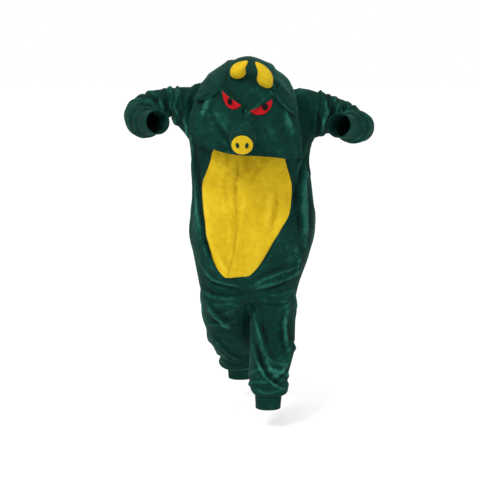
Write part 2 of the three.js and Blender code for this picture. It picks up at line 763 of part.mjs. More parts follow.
const FOLDED = /^(front|back|belly)_/;
const cornersOf = (wanted) =>
  surface.quads.filter(({ piece }) => wanted(piece)).flatMap(({ corners }) => corners);
const folded = new Set(cornersOf((piece) => FOLDED.test(piece)));
cornersOf((piece) => !FOLDED.test(piece)).forEach((id) => folded.delete(id));
surface.relax(new Set([...folded].filter((id) => surface.points[id].z > RELAX_ABOVE)), 0.4, 8);
const foldable = new Set([...folded].map((id) => surface.points[id]));
surface.raise((p, normal) =>
  foldable.has(p) ? foldHeight(FRONT_FOLDS, p, -normal.y) + foldHeight(BACK_FOLDS, p, normal.y) : 0,
);

// A closed wall of cloth under the given quads: the outer points, the same points one thickness in,
// and a rim round every open edge. Open edges are drawn back by half of the gap at a seam.
function wall(quads, pointOf, normalOf, thickness, gap) {
  const ids = [...new Set(quads.flat())];
  const faces = quads.map((quad) => quad.filter((id, k) => id !== quad[(k + 1) % quad.length]));
  const solidFaces = faces.filter((face) => face.length > 2);
  const used = new Map();
  for (const face of solidFaces) {
    face.forEach((a, k) => used.set(`${a},${face[(k + 1) % face.length]}`, face));
  }
  const open = [];
  for (const [key, face] of used) {
    const [a, b] = key.split(",").map(Number);
    if (!used.has(`${b},${a}`)) open.push({ a, b, face });
  }
  const inward = new Map(ids.map((id) => [id, []]));
  for (const { a, b, face } of open) {
    const edge = pointOf(b).clone().sub(pointOf(a)).normalize();
    const normal = normalOf(a).clone().add(normalOf(b)).normalize();
    const direction = normal.cross(edge).normalize();
    inward.get(a).push(direction);
    inward.get(b).push(direction);
  }
  const outer = new Map();
  for (const id of ids) {
    const directions = inward.get(id);
    const p = pointOf(id).clone();
    if (directions.length) {
      const sum = directions.reduce((total, d) => total.add(d), point(0, 0, 0));
      sum.divideScalar(directions.length);
      p.addScaledVector(sum, (gap * 0.6) / Math.max(0.3, sum.lengthSq()));
    }
    outer.set(id, p);
  }
  const positions = [];
  const put = (...corners) => corners.forEach((p) => positions.push(p.x, p.y, p.z));
  const sunk = (id) => outer.get(id).clone().addScaledVector(normalOf(id), -thickness);
  const inner = new Map(ids.map((id) => [id, sunk(id)]));
  for (const face of solidFaces) {
    for (let k = 1; k + 1 < face.length; k++) {
      put(outer.get(face[0]), outer.get(face[k]), outer.get(face[k + 1]));
      put(inner.get(face[0]), inner.get(face[k + 1]), inner.get(face[k]));
    }
  }
  for (const { a, b } of open) {
    const [outA, outB, inA, inB] = [outer.get(a), outer.get(b), inner.get(a), inner.get(b)];
    if (a < b) put(outB, outA, inA, outB, inA, inB);
    else put(outB, outA, inB, outA, inA, inB);
  }
  const geometry = new THREE.BufferGeometry();
  geometry.setAttribute("position", new THREE.Float32BufferAttribute(positions, 3));
  geometry.computeVertexNormals();
  return geometry;
}

const lapPoints = new Set(lapIds.flat());
const lapQuads = surface.quadsOf("belly_right").filter((quad) => quad.every((id) => lapPoints.has(id)));

const group = new THREE.Group();
const velour = (colour) => new THREE.MeshStandardMaterial({ color: colour, roughness: 0.95, metalness: 0 });
const MATERIALS = Object.fromEntries(
  Object.entries(COLOURS).map(([name, colour]) => [name, velour(colour)]),
);

function addMesh(name, geometry, material) {
  const mesh = new THREE.Mesh(geometry, MATERIALS[material]);
  mesh.name = name;
  group.add(mesh);
}

// The left belly's lap: the right belly's last column, laid over it.
const lapHeights = new Map();
for (const id of lapIds.flat()) lapHeights.set(id, LAP_RISE);

// Points that stand off the sewn surface by some height, for one piece alone.
function lifted(heights) {
  return (id) => surface.points[id].clone().addScaledVector(surface.normals[id], heights.get(id) ?? 0);
}

function addCloth(piece, material, options = {}) {
  const { thickness = CLOTH, gap = SEAM_GAP, extra = [], heights = new Map() } = options;
  const quads = [...surface.quadsOf(piece), ...extra];
  addMesh(piece, wall(quads, lifted(heights), (id) => surface.normals[id], thickness, gap), material);
}

// The hood as one plain sheet, to seat trim on.
const hoodCorners = surface.quads
  .filter(({ piece }) => piece.startsWith("hood_"))
  .flatMap(({ corners: [a, b, c, d] }) => [a, b, c, a, c, d]);
const hoodGeometry = new THREE.BufferGeometry().setFromPoints(hoodCorners.map((id) => surface.points[id]));
const hoodNormals = hoodCorners.flatMap((id) => surface.normals[id].toArray());
hoodGeometry.setAttribute("normal", new THREE.Float32BufferAttribute(hoodNormals, 3));
const hoodSheet = new THREE.Mesh(hoodGeometry, new THREE.MeshBasicMaterial({ side: THREE.DoubleSide }));

// Where a line from outside first meets the hood.
function meetHood(from, toward) {
  const [hit] = new THREE.Raycaster(from, toward.clone().normalize()).intersectObject(hoodSheet);
  return hit;
}

const onHood = (from, toward) => meetHood(from, toward).point;

// The place on the hood at (x, z) as seen from the front, moved out along the cloth's own normal.
function seat(x, z, off) {
  const hit = meetHood(point(x, -900, z), point(0, 1, 0));
  return hit.point.addScaledVector(hit.normal, off);
}

// A closed body from a stack of rings with equal counts, closed by a fan at each end.
function stack(rings, first, last) {
  const positions = [];
  const put = (...corners) => corners.forEach((p) => positions.push(p.x, p.y, p.z));
  const count = rings[0].length;
  for (let k = 0; k < count; k++) {
    const n = (k + 1) % count;
    put(first, rings[0][n], rings[0][k]);
    for (let i = 0; i + 1 < rings.length; i++) {
      put(rings[i][k], rings[i][n], rings[i + 1][n], rings[i][k], rings[i + 1][n], rings[i + 1][k]);
    }
    put(last, rings[rings.length - 1][k], rings[rings.length - 1][n]);
  }
  const volume = positions.reduce((sum, value, i) => {
    if (i % 9) return sum;
    const [ax, ay, az, bx, by, bz, cx, cy, cz] = positions.slice(i, i + 9);
    return sum + ax * (by * cz - bz * cy) + ay * (bz * cx - bx * cz) + az * (bx * cy - by * cx);
  }, 0);
  if (volume < 0) {
    for (let i = 0; i < positions.length; i += 9) {
      const [b, c] = [positions.slice(i + 3, i + 6), positions.slice(i + 6, i + 9)];
      positions.splice(i + 3, 6, ...c, ...b);
    }
  }
  const geometry = new THREE.BufferGeometry();
  geometry.setAttribute("position", new THREE.Float32BufferAttribute(positions, 3));
  geometry.computeVertexNormals();
  return geometry;
}

// Flat felt cut to an outline and laid on the hood, or on other felt that lies on the hood.
function felt(outline, below) {
  const mean = (k) => outline.reduce((sum, place) => sum + place[k], 0) / outline.length;
  const middle = [mean(0), mean(1)];
  const ring = (share, off) =>
    outline.map(([x, z]) => seat(mix(middle[0], x, share), mix(middle[1], z, share), below + off));
  const rings = [
    ring(0.5, 0),
    ring(1, 0),
    ring(1, FELT),
    ring(0.5, FELT),
  ];
  return stack(rings, seat(...middle, below), seat(...middle, below + FELT));
}

const oval = (count, wide, high, lean = 0) =>
  Array.from({ length: count }, (_, k) => {
    const angle = (2 * Math.PI * k) / count;
    const [x, z] = [wide * Math.cos(angle), high * Math.sin(angle)];
    const turn = radians(lean);
    return [x * Math.cos(turn) - z * Math.sin(turn), x * Math.sin(turn) + z * Math.cos(turn)];
  });

// A horn: a tapering stuffed tube whose foot is cut to the hood.
function horn(rows) {
  const axis = point(0, -0.82, 0.57).normalize();
  const across = point(1, 0, 0);
  const up = axis.clone().cross(across).normalize();
  const foot = seat(rows[0].x, rows[0].z, 0);
  const at = (centre, size, k) => {
    const angle = (2 * Math.PI * k) / HORN_SIDES;
    return centre
      .clone()
      .addScaledVector(across, size * Math.cos(angle))
      .addScaledVector(up, size * Math.sin(angle));
  };
  const footPoint = (share, k) => {
    const from = at(foot, rows[0].size * share, k).addScaledVector(axis, 500);
    return onHood(from, axis.clone().negate()).addScaledVector(axis, FOOT_GAP);
  };
  const ring = (make) => Array.from({ length: HORN_SIDES }, (_, k) => make(k));
  const middle = footPoint(0, 0);
  const rings = FOOT_RINGS.map((share) => ring((k) => footPoint(share, k)));
  for (const row of rows.slice(1)) {
    const shift = point(row.x - rows[0].x, row.y - rows[0].y, row.z - rows[0].z);
    rings.push(ring((k) => at(middle.clone().add(shift), row.size, k)));
  }
  const end = rows[rows.length - 1];
  const before = rows[rows.length - 2];
  const tip = middle.clone().add(point(end.x - rows[0].x, end.y - rows[0].y, end.z - rows[0].z));
  tip.add(point(end.x - before.x, end.y - before.y, end.z - before.z).setLength(2.5));
  return stack(rings, middle, tip);
}

// An ear: a doubled blade of cloth that hangs just off the hood's side.
function ear(rows, sign) {
  const rings = rows.map((row, i) => {
    const next = rows[Math.min(rows.length - 1, i + 1)];
    const last = rows[Math.max(0, i - 1)];
    const along = [next.x - last.x, next.z - last.z];
    const length = Math.hypot(...along);
    const across = [-along[1] / length, along[0] / length];
    const steps = [-1, -0.5, 0, 0.5, 1];
    const blade = (off, list) =>
      list.map((f) => {
        const curl = off + row.off * (1 - 0.25 * f * f);
        return seat(row.x + across[0] * row.wide * f, row.z + across[1] * row.wide * f, TRIM_GAP + curl);
      });
    return [...blade(0, steps), ...blade(EAR_CLOTH, [...steps].reverse())];
  });
  const middleOf = (ring) =>
    ring.reduce((sum, p) => sum.add(p), point(0, 0, 0)).divideScalar(ring.length);
  const tip = middleOf(rings[rings.length - 1]).add(point(sign * 2.5, 0, -2));
  return stack(rings, middleOf(rings[0]), tip);
}

// The snout, its end and its nostrils, all square to one axis.
function addSnout() {
  const axis = point(...SNOUT.toward).normalize();
  const across = point(1, 0, 0).cross(axis).cross(axis).negate().normalize();
  const up = axis.clone().cross(across).normalize();
  const centre = point(...SNOUT.from);
  const at = (along, [x, z]) =>
    centre.clone().addScaledVector(axis, along).addScaledVector(across, x).addScaledVector(up, z);
  const circle = (size, along) => oval(SNOUT.sides, size, size).map((place) => at(along, place));
  const foot = (size) =>
    oval(SNOUT.sides, size, size).map((place) =>
      onHood(at(300, place), axis.clone().negate()).addScaledVector(axis, FOOT_GAP),
    );
  const middle = onHood(at(300, [0, 0]), axis.clone().negate()).addScaledVector(axis, FOOT_GAP);
  const { size, length } = SNOUT;
  const body = [
    ...FOOT_RINGS.map((share) => foot((size + 2) * share)),
    circle(size, length * 0.5),
    circle(size, length * 0.85),
    circle(size - 2, length - 1),
    circle(size - 5, length),
  ];
  addMesh("snout", stack(body, middle, at(length, [0, 0])), "green");
  const disc = length + TRIM_GAP;
  const { size: round, thick } = SNOUT_DISC;
  const plate = [
    circle(round - 1, disc),
    circle(round, disc + thick * 0.4),
    circle(round - 2.5, disc + thick),
  ];
  addMesh("snout_disc", stack(plate, at(disc, [0, 0]), at(disc + thick, [0, 0])), "yellow");
  const top = disc + thick + TRIM_GAP;
  for (const [side, sign] of Object.entries(SIDES)) {
    const { apart, wide, high, lean, thick: nap } = NOSTRIL;
    const shape = (scale, along) =>
      oval(14, wide * scale, high * scale, -sign * lean).map(([x, z]) => at(along, [x + sign * apart, z]));
    const rings = [shape(1, top), shape(1, top + nap * 0.6), shape(0.75, top + nap)];
    const heart = [sign * apart, 0];
    addMesh(`nostril_${side}`, stack(rings, at(top, heart), at(top + nap, heart)), "green");
  }
}

for (const side of Object.keys(SIDES)) {
  const { at, wide, high } = PUPILS[side];
  const pupil = oval(12, wide, high).map(([x, z]) => [x + at[0], z + at[1]]);
  addMesh(`eye_${side}`, felt(EYES[side], FELT_GAP), "red");
  addMesh(`pupil_${side}`, felt(pupil, FELT_GAP + FELT + TRIM_GAP), "black");
  addMesh(`horn_${side}`, horn(HORNS[side]), "yellow");
  addMesh(`ear_${side}`, ear(EARS[side], SIDES[side]), "green");
}
addSnout();

for (const side of Object.keys(SIDES)) {
  addCloth(`back_${side}`, "green");
  addCloth(`front_${side}`, "green");
  addCloth(`sleeve_${side}`, "green");
  addCloth(`sleeve_cuff_${side}`, "green", { thickness: CUFF_CLOTH });
  addCloth(`leg_cuff_${side}`, "green", { thickness: CUFF_CLOTH });
  addCloth(`hood_side_${side}`, "green");
  addCloth(`chin_${side}`, "yellow", { gap: CHIN_GAP });
}
addCloth("belly_right", "yellow");
addCloth("belly_left", "yellow", { extra: lapQuads, heights: lapHeights });
addCloth("hood_top", "green");

export default group;
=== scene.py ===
"""A child's hooded buffalo onesie of velour fleece, dressed over its solid model, in a small studio."""

import logging
import math
from dataclasses import dataclass, field
from enum import Enum
from typing import Any, Sequence

import bpy
import numpy as np
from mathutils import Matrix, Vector
from mathutils.kdtree import KDTree


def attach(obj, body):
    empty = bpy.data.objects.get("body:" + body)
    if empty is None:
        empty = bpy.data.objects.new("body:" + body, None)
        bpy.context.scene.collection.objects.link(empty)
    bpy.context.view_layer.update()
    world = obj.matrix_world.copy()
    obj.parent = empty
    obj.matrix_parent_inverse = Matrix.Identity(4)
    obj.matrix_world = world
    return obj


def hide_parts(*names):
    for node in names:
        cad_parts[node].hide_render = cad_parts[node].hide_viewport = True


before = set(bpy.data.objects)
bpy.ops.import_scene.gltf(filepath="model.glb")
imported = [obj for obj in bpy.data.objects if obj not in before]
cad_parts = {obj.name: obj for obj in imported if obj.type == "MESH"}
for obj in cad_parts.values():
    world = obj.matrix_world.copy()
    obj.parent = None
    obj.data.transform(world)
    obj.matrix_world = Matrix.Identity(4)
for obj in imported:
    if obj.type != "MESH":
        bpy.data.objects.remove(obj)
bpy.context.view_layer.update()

log = logging.getLogger("onesie")
MM = 0.001
SQUARE_DM = 0.01
Colour = tuple[float, float, float]

# The section across a fold, in shares of its width; the lit width is that of the painted highlight line on
# its crest.
TROUGH_AWAY = 1.75
TROUGH_WIDTH = 0.85
LIT_WIDTH = 0.5
# A fold's ends keep this share of its height, and it swells towards its middle by this power.
END_SHARE = 0.1
SWELL = 0.8
# How fast a fold dies out where the cloth turns away, and the rise in mm at which its painted highlight and
# shade are full.
TURN_RATE = 1.8
LIT_RISE = 6.0

# The same for a ring of slack, with its least share of height round the limb and its soft edge in mm; the
# shade and lit values shape its painted shade and painted highlight.
RING_TROUGH_AWAY = 1.7
RING_TROUGH_WIDTH = 0.8
RING_TROUGH = 0.45
RING_SHADE = 0.5
RING_LIT_WIDTH = 0.6
RING_LIT_RISE = 5.0
RING_EVEN = 0.62
RING_EDGE = 12.0

# How many faces give the way out at a place, and the squared distance that softens their pull.
NEIGHBOURS = 14
SOFTENING = 4e-5

# Corners closer than this, in metres, are one, and the angles, in degrees, of the rounding.
WELD = 0.00002
ROUNDINGS = 2
FLAT_ANGLE = 50.0
SQUARE_ANGLE = 60.0
SMOOTH_ANGLE = 50.0

# How much each pattern changes a cloth's tone, the last being the painted highlight and shade of the folds,
# and the tone in the middle.
PATCH_TONE = 0.7
STREAK_TONE = 0.5
PILE_TONE = 0.4
PAINTED_FOLD_SHADE_TONE = 0.36
MIDDLE_TONE = 0.42
# The finer patterns' scales in shares of the patches' scale, and each pattern's part in the relief.
STREAK_SCALE = 6.0
CRUMPLE_SCALE = 2.4
PILE_RELIEF = 0.6
STREAK_RELIEF = 1.3
CRUMPLE_RELIEF = 2.6
RELIEF_DEPTH = 0.0016
PILE_ROUGHNESS = 0.12
SPECULAR = 0.12
GRAIN = 0.55

# Trim laid on the hood, which doesn't show which way is out.
TRIM = ("eye", "pupil", "nostril", "ear")


class Facing(Enum):
    """The side of the garment that a fold is drawn on, as the direction that it faces."""

    FRONT = (0.0, -1.0, 0.0)
    BACK = (0.0, 1.0, 0.0)
    LEFT = (1.0, 0.0, 0.0)
    RIGHT = (-1.0, 0.0, 0.0)
    TOP = (0.0, 0.0, 1.0)

    def flat(self, points: np.ndarray) -> np.ndarray:
        """Points as seen from this side.

        Args:
            points: places in the row frame, one a row.

        Returns:
            Two columns: across and up for the sides, x and y for the top.
        """
        if self is Facing.TOP:
            return points[:, [0, 1]]
        return points[:, [0, 2]] if self in (Facing.FRONT, Facing.BACK) else points[:, [1, 2]]


class Held(Enum):
    """How a sheet of cloth is kept in place."""

    DRAPED = "draped"
    HUNG = "hung"
    GATHERED = "gathered"
    LAID = "laid"
    STRETCHED = "stretched"


def smoothstep(t: np.ndarray) -> np.ndarray:
    """Eases numbers from 0 to 1.

    Args:
        t: numbers, cut to 0 and 1.

    Returns:
        The eased numbers.
    """
    t = np.clip(t, 0.0, 1.0)
    return t * t * (3.0 - 2.0 * t)


@dataclass(frozen=True)
class Fold:
    """A soft ridge or trough pressed into the cloth along a given line."""

    facing: Facing
    rise: float
    width: float
    path: tuple[tuple[float, float], ...]
    hollow: float = 0.6

    def press(self, points: np.ndarray, outward: np.ndarray) -> tuple[np.ndarray, np.ndarray]:
        """How far each point moves out, and the highlight and shade painted onto its colour.

        Args:
            points: places in the row frame, in metres.
            outward: the way out of the cloth at each place.

        Returns:
            Heights in metres, and painted lightness from -1, painted shade in a trough, to 1, a painted
            highlight on a crest.
        """
        flat = self.facing.flat(points) / MM
        best = np.full(len(flat), np.inf)
        along = np.zeros(len(flat))
        side = np.ones(len(flat))
        for i in range(len(self.path) - 1):
            a, b = np.array(self.path[i]), np.array(self.path[i + 1])
            run = b - a
            t = np.clip((flat - a) @ run / (run @ run), 0.0, 1.0)
            gap = np.linalg.norm(flat - a - t[:, None] * run, axis=1)
            turned = np.sign(run[0] * (flat - a)[:, 1] - run[1] * (flat - a)[:, 0] + 1e-9)
            along = np.where(gap < best, (i + t) / (len(self.path) - 1), along)
            side = np.where(gap < best, turned, side)
            best = np.minimum(best, gap)
        fade = END_SHARE + (1.0 - END_SHARE) * np.sin(math.pi * along) ** SWELL
        seen = smoothstep(outward @ np.array(self.facing.value) * TURN_RATE)
        crest = np.exp(-((best / self.width) ** 2))
        beside = np.exp(-(((best * side - TROUGH_AWAY * self.width) / (TROUGH_WIDTH * self.width)) ** 2))
        # edge is a thin painted highlight along the crest; shade joins it with painted shade in the troughs
        # beside it.
        edge = np.exp(-((best / (LIT_WIDTH * self.width)) ** 2))
        height = self.rise * MM * fade * (crest - self.hollow * beside) * seen
        shade = self.rise / LIT_RISE * fade * (edge - self.hollow * beside) * seen
        return height, shade


@dataclass(frozen=True)
class Ring:
    """A bunched ridge that runs round a sleeve or a leg, fuller on one side than on the other."""

    centre: tuple[float, float, float]
    axis: tuple[float, float, float]
    rise: float
    width: float
    full: float
    reach: float = 72.0

    def press(self, points: np.ndarray, outward: np.ndarray) -> tuple[np.ndarray, np.ndarray]:
        """How far each point moves out, and the highlight and shade painted onto its colour.

        Args:
            points: places in the row frame, in metres.
            outward: the way out of the cloth at each place.

        Returns:
            Heights in metres, and painted lightness from -1, painted shade in a trough, to 1, a painted
            highlight on a crest.
        """
        axis = np.array(self.axis) / np.linalg.norm(self.axis)
        across = np.cross(axis, (0.0, 0.3, 1.0))
        across /= np.linalg.norm(across)
        offset = points / MM - np.array(self.centre)
        angle = np.arctan2(offset @ np.cross(axis, across), offset @ across)
        sway = 0.5 * self.width * np.sin(2.0 * angle + self.full)
        gap = np.abs(offset @ axis + sway)
        near = smoothstep((self.reach - np.linalg.norm(offset, axis=1)) / RING_EDGE)
        round_about = RING_EVEN + (1.0 - RING_EVEN) * np.cos(angle - math.radians(self.full))
        crest = np.exp(-((gap / self.width) ** 2))
        beside = np.exp(-(((gap - RING_TROUGH_AWAY * self.width) / (RING_TROUGH_WIDTH * self.width)) ** 2))
        # edge is a thin painted highlight along the ring; shade joins it with painted shade in the troughs
        # beside it.
        edge = np.exp(-((gap / (RING_LIT_WIDTH * self.width)) ** 2))
        height = self.rise * MM * round_about * near * (crest - RING_TROUGH * beside)
        shade = self.rise / RING_LIT_RISE * round_about * near * (edge - RING_SHADE * beside)
        return height, shade


class OutwardField:
    """The way out of the garment at any place, the same for every piece that meets there."""

    # Middle lines of the trunk, legs, sleeves and hood, each from one end to the other, in millimetres.
    AXES: tuple[tuple[float, ...], ...] = (
        (0, 0, 60, 0, -40, 60),
        (0, 0, -60, 0, 0, -540),
        (-70, 20, -640, -58, 70, -735),
        (-58, 70, -735, -29, 178, -890),
        (70, -8, -640, 66, -42, -735),
        (66, -42, -735, 52, -108, -900),
        (-178, 2, -40, -300, -20, -40),
        (-300, -20, -40, -306, -110, -60),
        (-306, -110, -60, -250, -215, -64),
        (178, 2, -55, 295, -20, -76),
        (295, -20, -76, 299, -110, -84),
        (299, -110, -84, 238, -215, -74),
        (0, 0, 55, 0, -130, 10),
        (0, -130, 10, -15, -200, -110),
    )

    def __init__(self, nodes: Sequence[bpy.types.Object]) -> None:
        """Gathers the faces of the garment, all turned outwards.

        Args:
            nodes: the solids that make the garment's wall.
        """
        centres: list[np.ndarray] = []
        normals: list[np.ndarray] = []
        for node in nodes:
            polygons = node.data.polygons
            centre = np.empty(len(polygons) * 3)
            normal = np.empty(len(polygons) * 3)
            area = np.empty(len(polygons))
            polygons.foreach_get("center", centre)
            polygons.foreach_get("normal", normal)
            polygons.foreach_get("area", area)
            world = np.array(node.matrix_world)
            centre = centre.reshape(-1, 3) @ world[:3, :3].T + world[:3, 3]
            normal = normal.reshape(-1, 3) @ world[:3, :3].T
            out = np.einsum("ij,ij->i", normal, centre - self.axis_point(centre))
            sign = np.where(out > 0, 1.0, -1.0)[:, None]
            centres.append(centre)
            normals.append(normal * sign * area[:, None])
        self.centres = np.vstack(centres)
        self.normals = np.vstack(normals)
        self.tree = KDTree(len(self.centres))
        for i, centre in enumerate(self.centres):
            self.tree.insert(Vector(centre), i)
        self.tree.balance()

    def axis_point(self, points: np.ndarray) -> np.ndarray:
        """The nearest place on the middle lines of the trunk, limbs and hood.

        Args:
            points: places in the row frame, in metres.

        Returns:
            One place on a middle line for each.
        """
        best = np.full(len(points), np.inf)
        nearest = np.zeros_like(points)
        for row in self.AXES:
            a, b = np.array(row[:3]) * MM, np.array(row[3:]) * MM
            t = np.clip((points - a) @ (b - a) / ((b - a) @ (b - a)), 0.0, 1.0)
            place = a + t[:, None] * (b - a)
            gap = np.linalg.norm(points - place, axis=1)
            closer = gap < best
            best = np.where(closer, gap, best)
            nearest[closer] = place[closer]
        return nearest

    def at(self, points: np.ndarray) -> np.ndarray:
        """The way out at each place.

        Args:
            points: places in the row frame, in metres.

        Returns:
            Unit vectors.
        """
        result = np.zeros_like(points)
        for i, place in enumerate(points):
            for _, k, gap in self.tree.find_n(Vector(place), NEIGHBOURS):
                result[i] += self.normals[k] / (gap * gap + SOFTENING)
        return result / np.maximum(np.linalg.norm(result, axis=1, keepdims=True), 1e-12)


class Value:
    """A shader socket that can be added, multiplied and mixed like a number."""

    def __init__(self, tree: bpy.types.NodeTree, socket: Any) -> None:
        """Wraps one output socket.

        Args:
            tree: the node tree.
            socket: the output socket.
        """
        self.tree = tree
        self.socket = socket

    @staticmethod
    def node(tree: bpy.types.NodeTree, kind: str, **inputs: Any) -> bpy.types.Node:
        """Adds a node and sets or links its inputs.

        Args:
            tree: the node tree.
            kind: the node's type name.
            inputs: values or Value objects by socket name, with _ for a space.

        Returns:
            The new node.
        """
        new = tree.nodes.new(kind)
        for key, value in inputs.items():
            socket = new.inputs[key.replace("_", " ")]
            if isinstance(value, Value):
                tree.links.new(value.socket, socket)
            else:
                socket.default_value = value
        return new

    def _math(self, operation: str, *others: "Value | float") -> "Value":
        """Joins this number with others through a math node.

        Args:
            operation: the node's operation.
            others: values or plain numbers.

        Returns:
            The result.
        """
        new = self.tree.nodes.new("ShaderNodeMath")
        new.operation = operation
        for socket, value in zip(new.inputs, (self, *others)):
            if isinstance(value, Value):
                self.tree.links.new(value.socket, socket)
            else:
                socket.default_value = value
        return Value(self.tree, new.outputs[0])

    def __add__(self, other: "Value | float") -> "Value":
        return self._math("ADD", other)

    def __sub__(self, other: "Value | float") -> "Value":
        return self._math("SUBTRACT", other)

    def __mul__(self, other: "Value | float") -> "Value":
        return self._math("MULTIPLY", other)

    def clamped(self) -> "Value":
        """The number cut to 0 and 1.

        Returns:
            The cut number.
        """
        return self._math("MAXIMUM", 0.0)._math("MINIMUM", 1.0)

    def ramp(self, *stops: tuple[float, Colour]) -> "Value":
        """A colour read off a row of others.

        Args:
            stops: places from 0 to 1, each with its colour.

        Returns:
            The colour.
        """
        new = self.tree.nodes.new("ShaderNodeValToRGB")
        elements = new.color_ramp.elements
        for element, (place, _) in zip(list(elements), (stops[0], stops[-1])):
            element.position = place
        for place, _ in stops[1:-1]:
            elements.new(place)
        for element, (_, colour) in zip(elements, stops):
            element.color = (*colour, 1.0)
        self.tree.links.new(self.socket, new.inputs[0])
        return Value(self.tree, new.outputs[0])


def linear(code: str) -> Colour:
    """A display colour as a linear one.

    Args:
        code: six hexadecimal digits.

    Returns:
        Red, green and blue from 0 to 1.
    """
    parts = [int(code[i : i + 2], 16) / 255.0 for i in (0, 2, 4)]
    red, green, blue = ((c / 12.92 if c <= 0.04045 else ((c + 0.055) / 1.055) ** 2.4) for c in parts)
    return red, green, blue


@dataclass(frozen=True)
class Finish:
    """A cloth's surface: its colours, with painted highlight and shade from its folds, how its pile catches
    light, and its fine relief.
    """

    name: str
    slot: str
    # The tone ramp's colours: dark is reached in dark random patches and in the painted shade of fold
    # troughs, light is the middle colour, and crest is reached in bright patches and in the painted
    # highlight on fold crests.
    dark: str
    light: str
    crest: str
    tint: str
    sheen: float
    sheen_roughness: float = 0.4
    patch_scale: float = 11.0
    pile_scale: float = 750.0
    relief: float = 0.35
    roughness: float = 0.92

    def material(self) -> bpy.types.Material:
        """Builds the material, once.

        Returns:
            The material.
        """
        if self.name in bpy.data.materials:
            return bpy.data.materials[self.name]
        made = bpy.data.materials.new(self.name)
        made.use_nodes = True
        tree = made.node_tree
        shader = tree.nodes["Principled BSDF"]
        place = Value(tree, tree.nodes.new("ShaderNodeTexCoord").outputs["Object"])
        patches = self._noise(tree, place, self.patch_scale, 3.0)
        streaks = self._noise(tree, place, self.patch_scale * STREAK_SCALE, 4.0)
        pile = self._noise(tree, place, self.pile_scale, 2.0)
        crumple = self._noise(tree, place, self.patch_scale * CRUMPLE_SCALE, 2.0)
        painted_fold_shade = tree.nodes.new("ShaderNodeAttribute")
        painted_fold_shade.attribute_name = "painted_fold_shade"
        # The tone adds random patches, streaks and pile to the painted fold highlight and shade kept on the
        # mesh.
        tone = (patches - 0.5) * PATCH_TONE + (streaks - 0.5) * STREAK_TONE + (pile - 0.5) * PILE_TONE
        tone = (tone + Value(tree, painted_fold_shade.outputs["Fac"]) * PAINTED_FOLD_SHADE_TONE + MIDDLE_TONE).clamped()
        stops = ((0.0, linear(self.dark)), (0.5, linear(self.light)), (1.0, linear(self.crest)))
        tree.links.new(tone.ramp(*stops).socket, shader.inputs["Base Color"])
        rough = (pile - 0.5) * PILE_ROUGHNESS + self.roughness
        tree.links.new(rough.clamped().socket, shader.inputs["Roughness"])
        shader.inputs["Sheen Weight"].default_value = self.sheen
        shader.inputs["Sheen Roughness"].default_value = self.sheen_roughness
        shader.inputs["Sheen Tint"].default_value = (*linear(self.tint), 1.0)
        shader.inputs["Specular IOR Level"].default_value = SPECULAR
        height = pile * PILE_RELIEF + streaks * STREAK_RELIEF + crumple * CRUMPLE_RELIEF
        bump = Value.node(tree, "ShaderNodeBump", Strength=self.relief, Distance=RELIEF_DEPTH, Height=height)
        tree.links.new(bump.outputs[0], shader.inputs["Normal"])
        return made

    @staticmethod
    def _noise(tree: bpy.types.NodeTree, place: Value, scale: float, detail: float) -> Value:
        """Soft noise in the piece's own coordinates.

        Args:
            tree: the node tree.
            place: the coordinates.
            scale: how many patches there are to a metre.
            detail: how many finer layers there are.

        Returns:
            The noise, from 0 to 1.
        """
        inputs = {"Vector": place, "Scale": scale, "Detail": detail, "Roughness": GRAIN}
        node = Value.node(tree, "ShaderNodeTexNoise", **inputs)
        return Value(tree, node.outputs[0])


# Each crest colour serves bright random patches and the painted highlight on fold crests.
GREEN = Finish(
    name="green_velour_pile",
    slot="green_velour",
    dark="000f0a",
    light="022f27",
    crest="2a6c5e",
    tint="4fae96",
    sheen=0.34,
    sheen_roughness=0.2,
)
YELLOW = Finish(
    name="yellow_velour_pile",
    slot="yellow_velour",
    dark="9c7c02",
    light="c4a51a",
    crest="dcc034",
    tint="fff0a0",
    sheen=0.06,
    sheen_roughness=0.3,
    relief=0.25,
)
RED = Finish("red_felt_pile", "red_felt", "80060e", "a30e17", "b92029", "ff8080", 0.04, relief=0.3)
BLACK = Finish("black_felt_pile", "black_felt", "050505", "0e0e0e", "1c1c1c", "404040", 0.03, relief=0.3)
DARK_GREEN = Finish(
    name="dark_green_felt_pile",
    slot="dark_green_felt",
    dark="021812",
    light="0a2f26",
    crest="1f4d40",
    tint="4c8f7c",
    sheen=0.05,
    relief=0.3,
)


def activate(obj: bpy.types.Object) -> None:
    """Makes one object the only selected and active one.

    Args:
        obj: the object.
    """
    bpy.ops.object.select_all(action="DESELECT")
    obj.select_set(True)
    bpy.context.view_layer.objects.active = obj


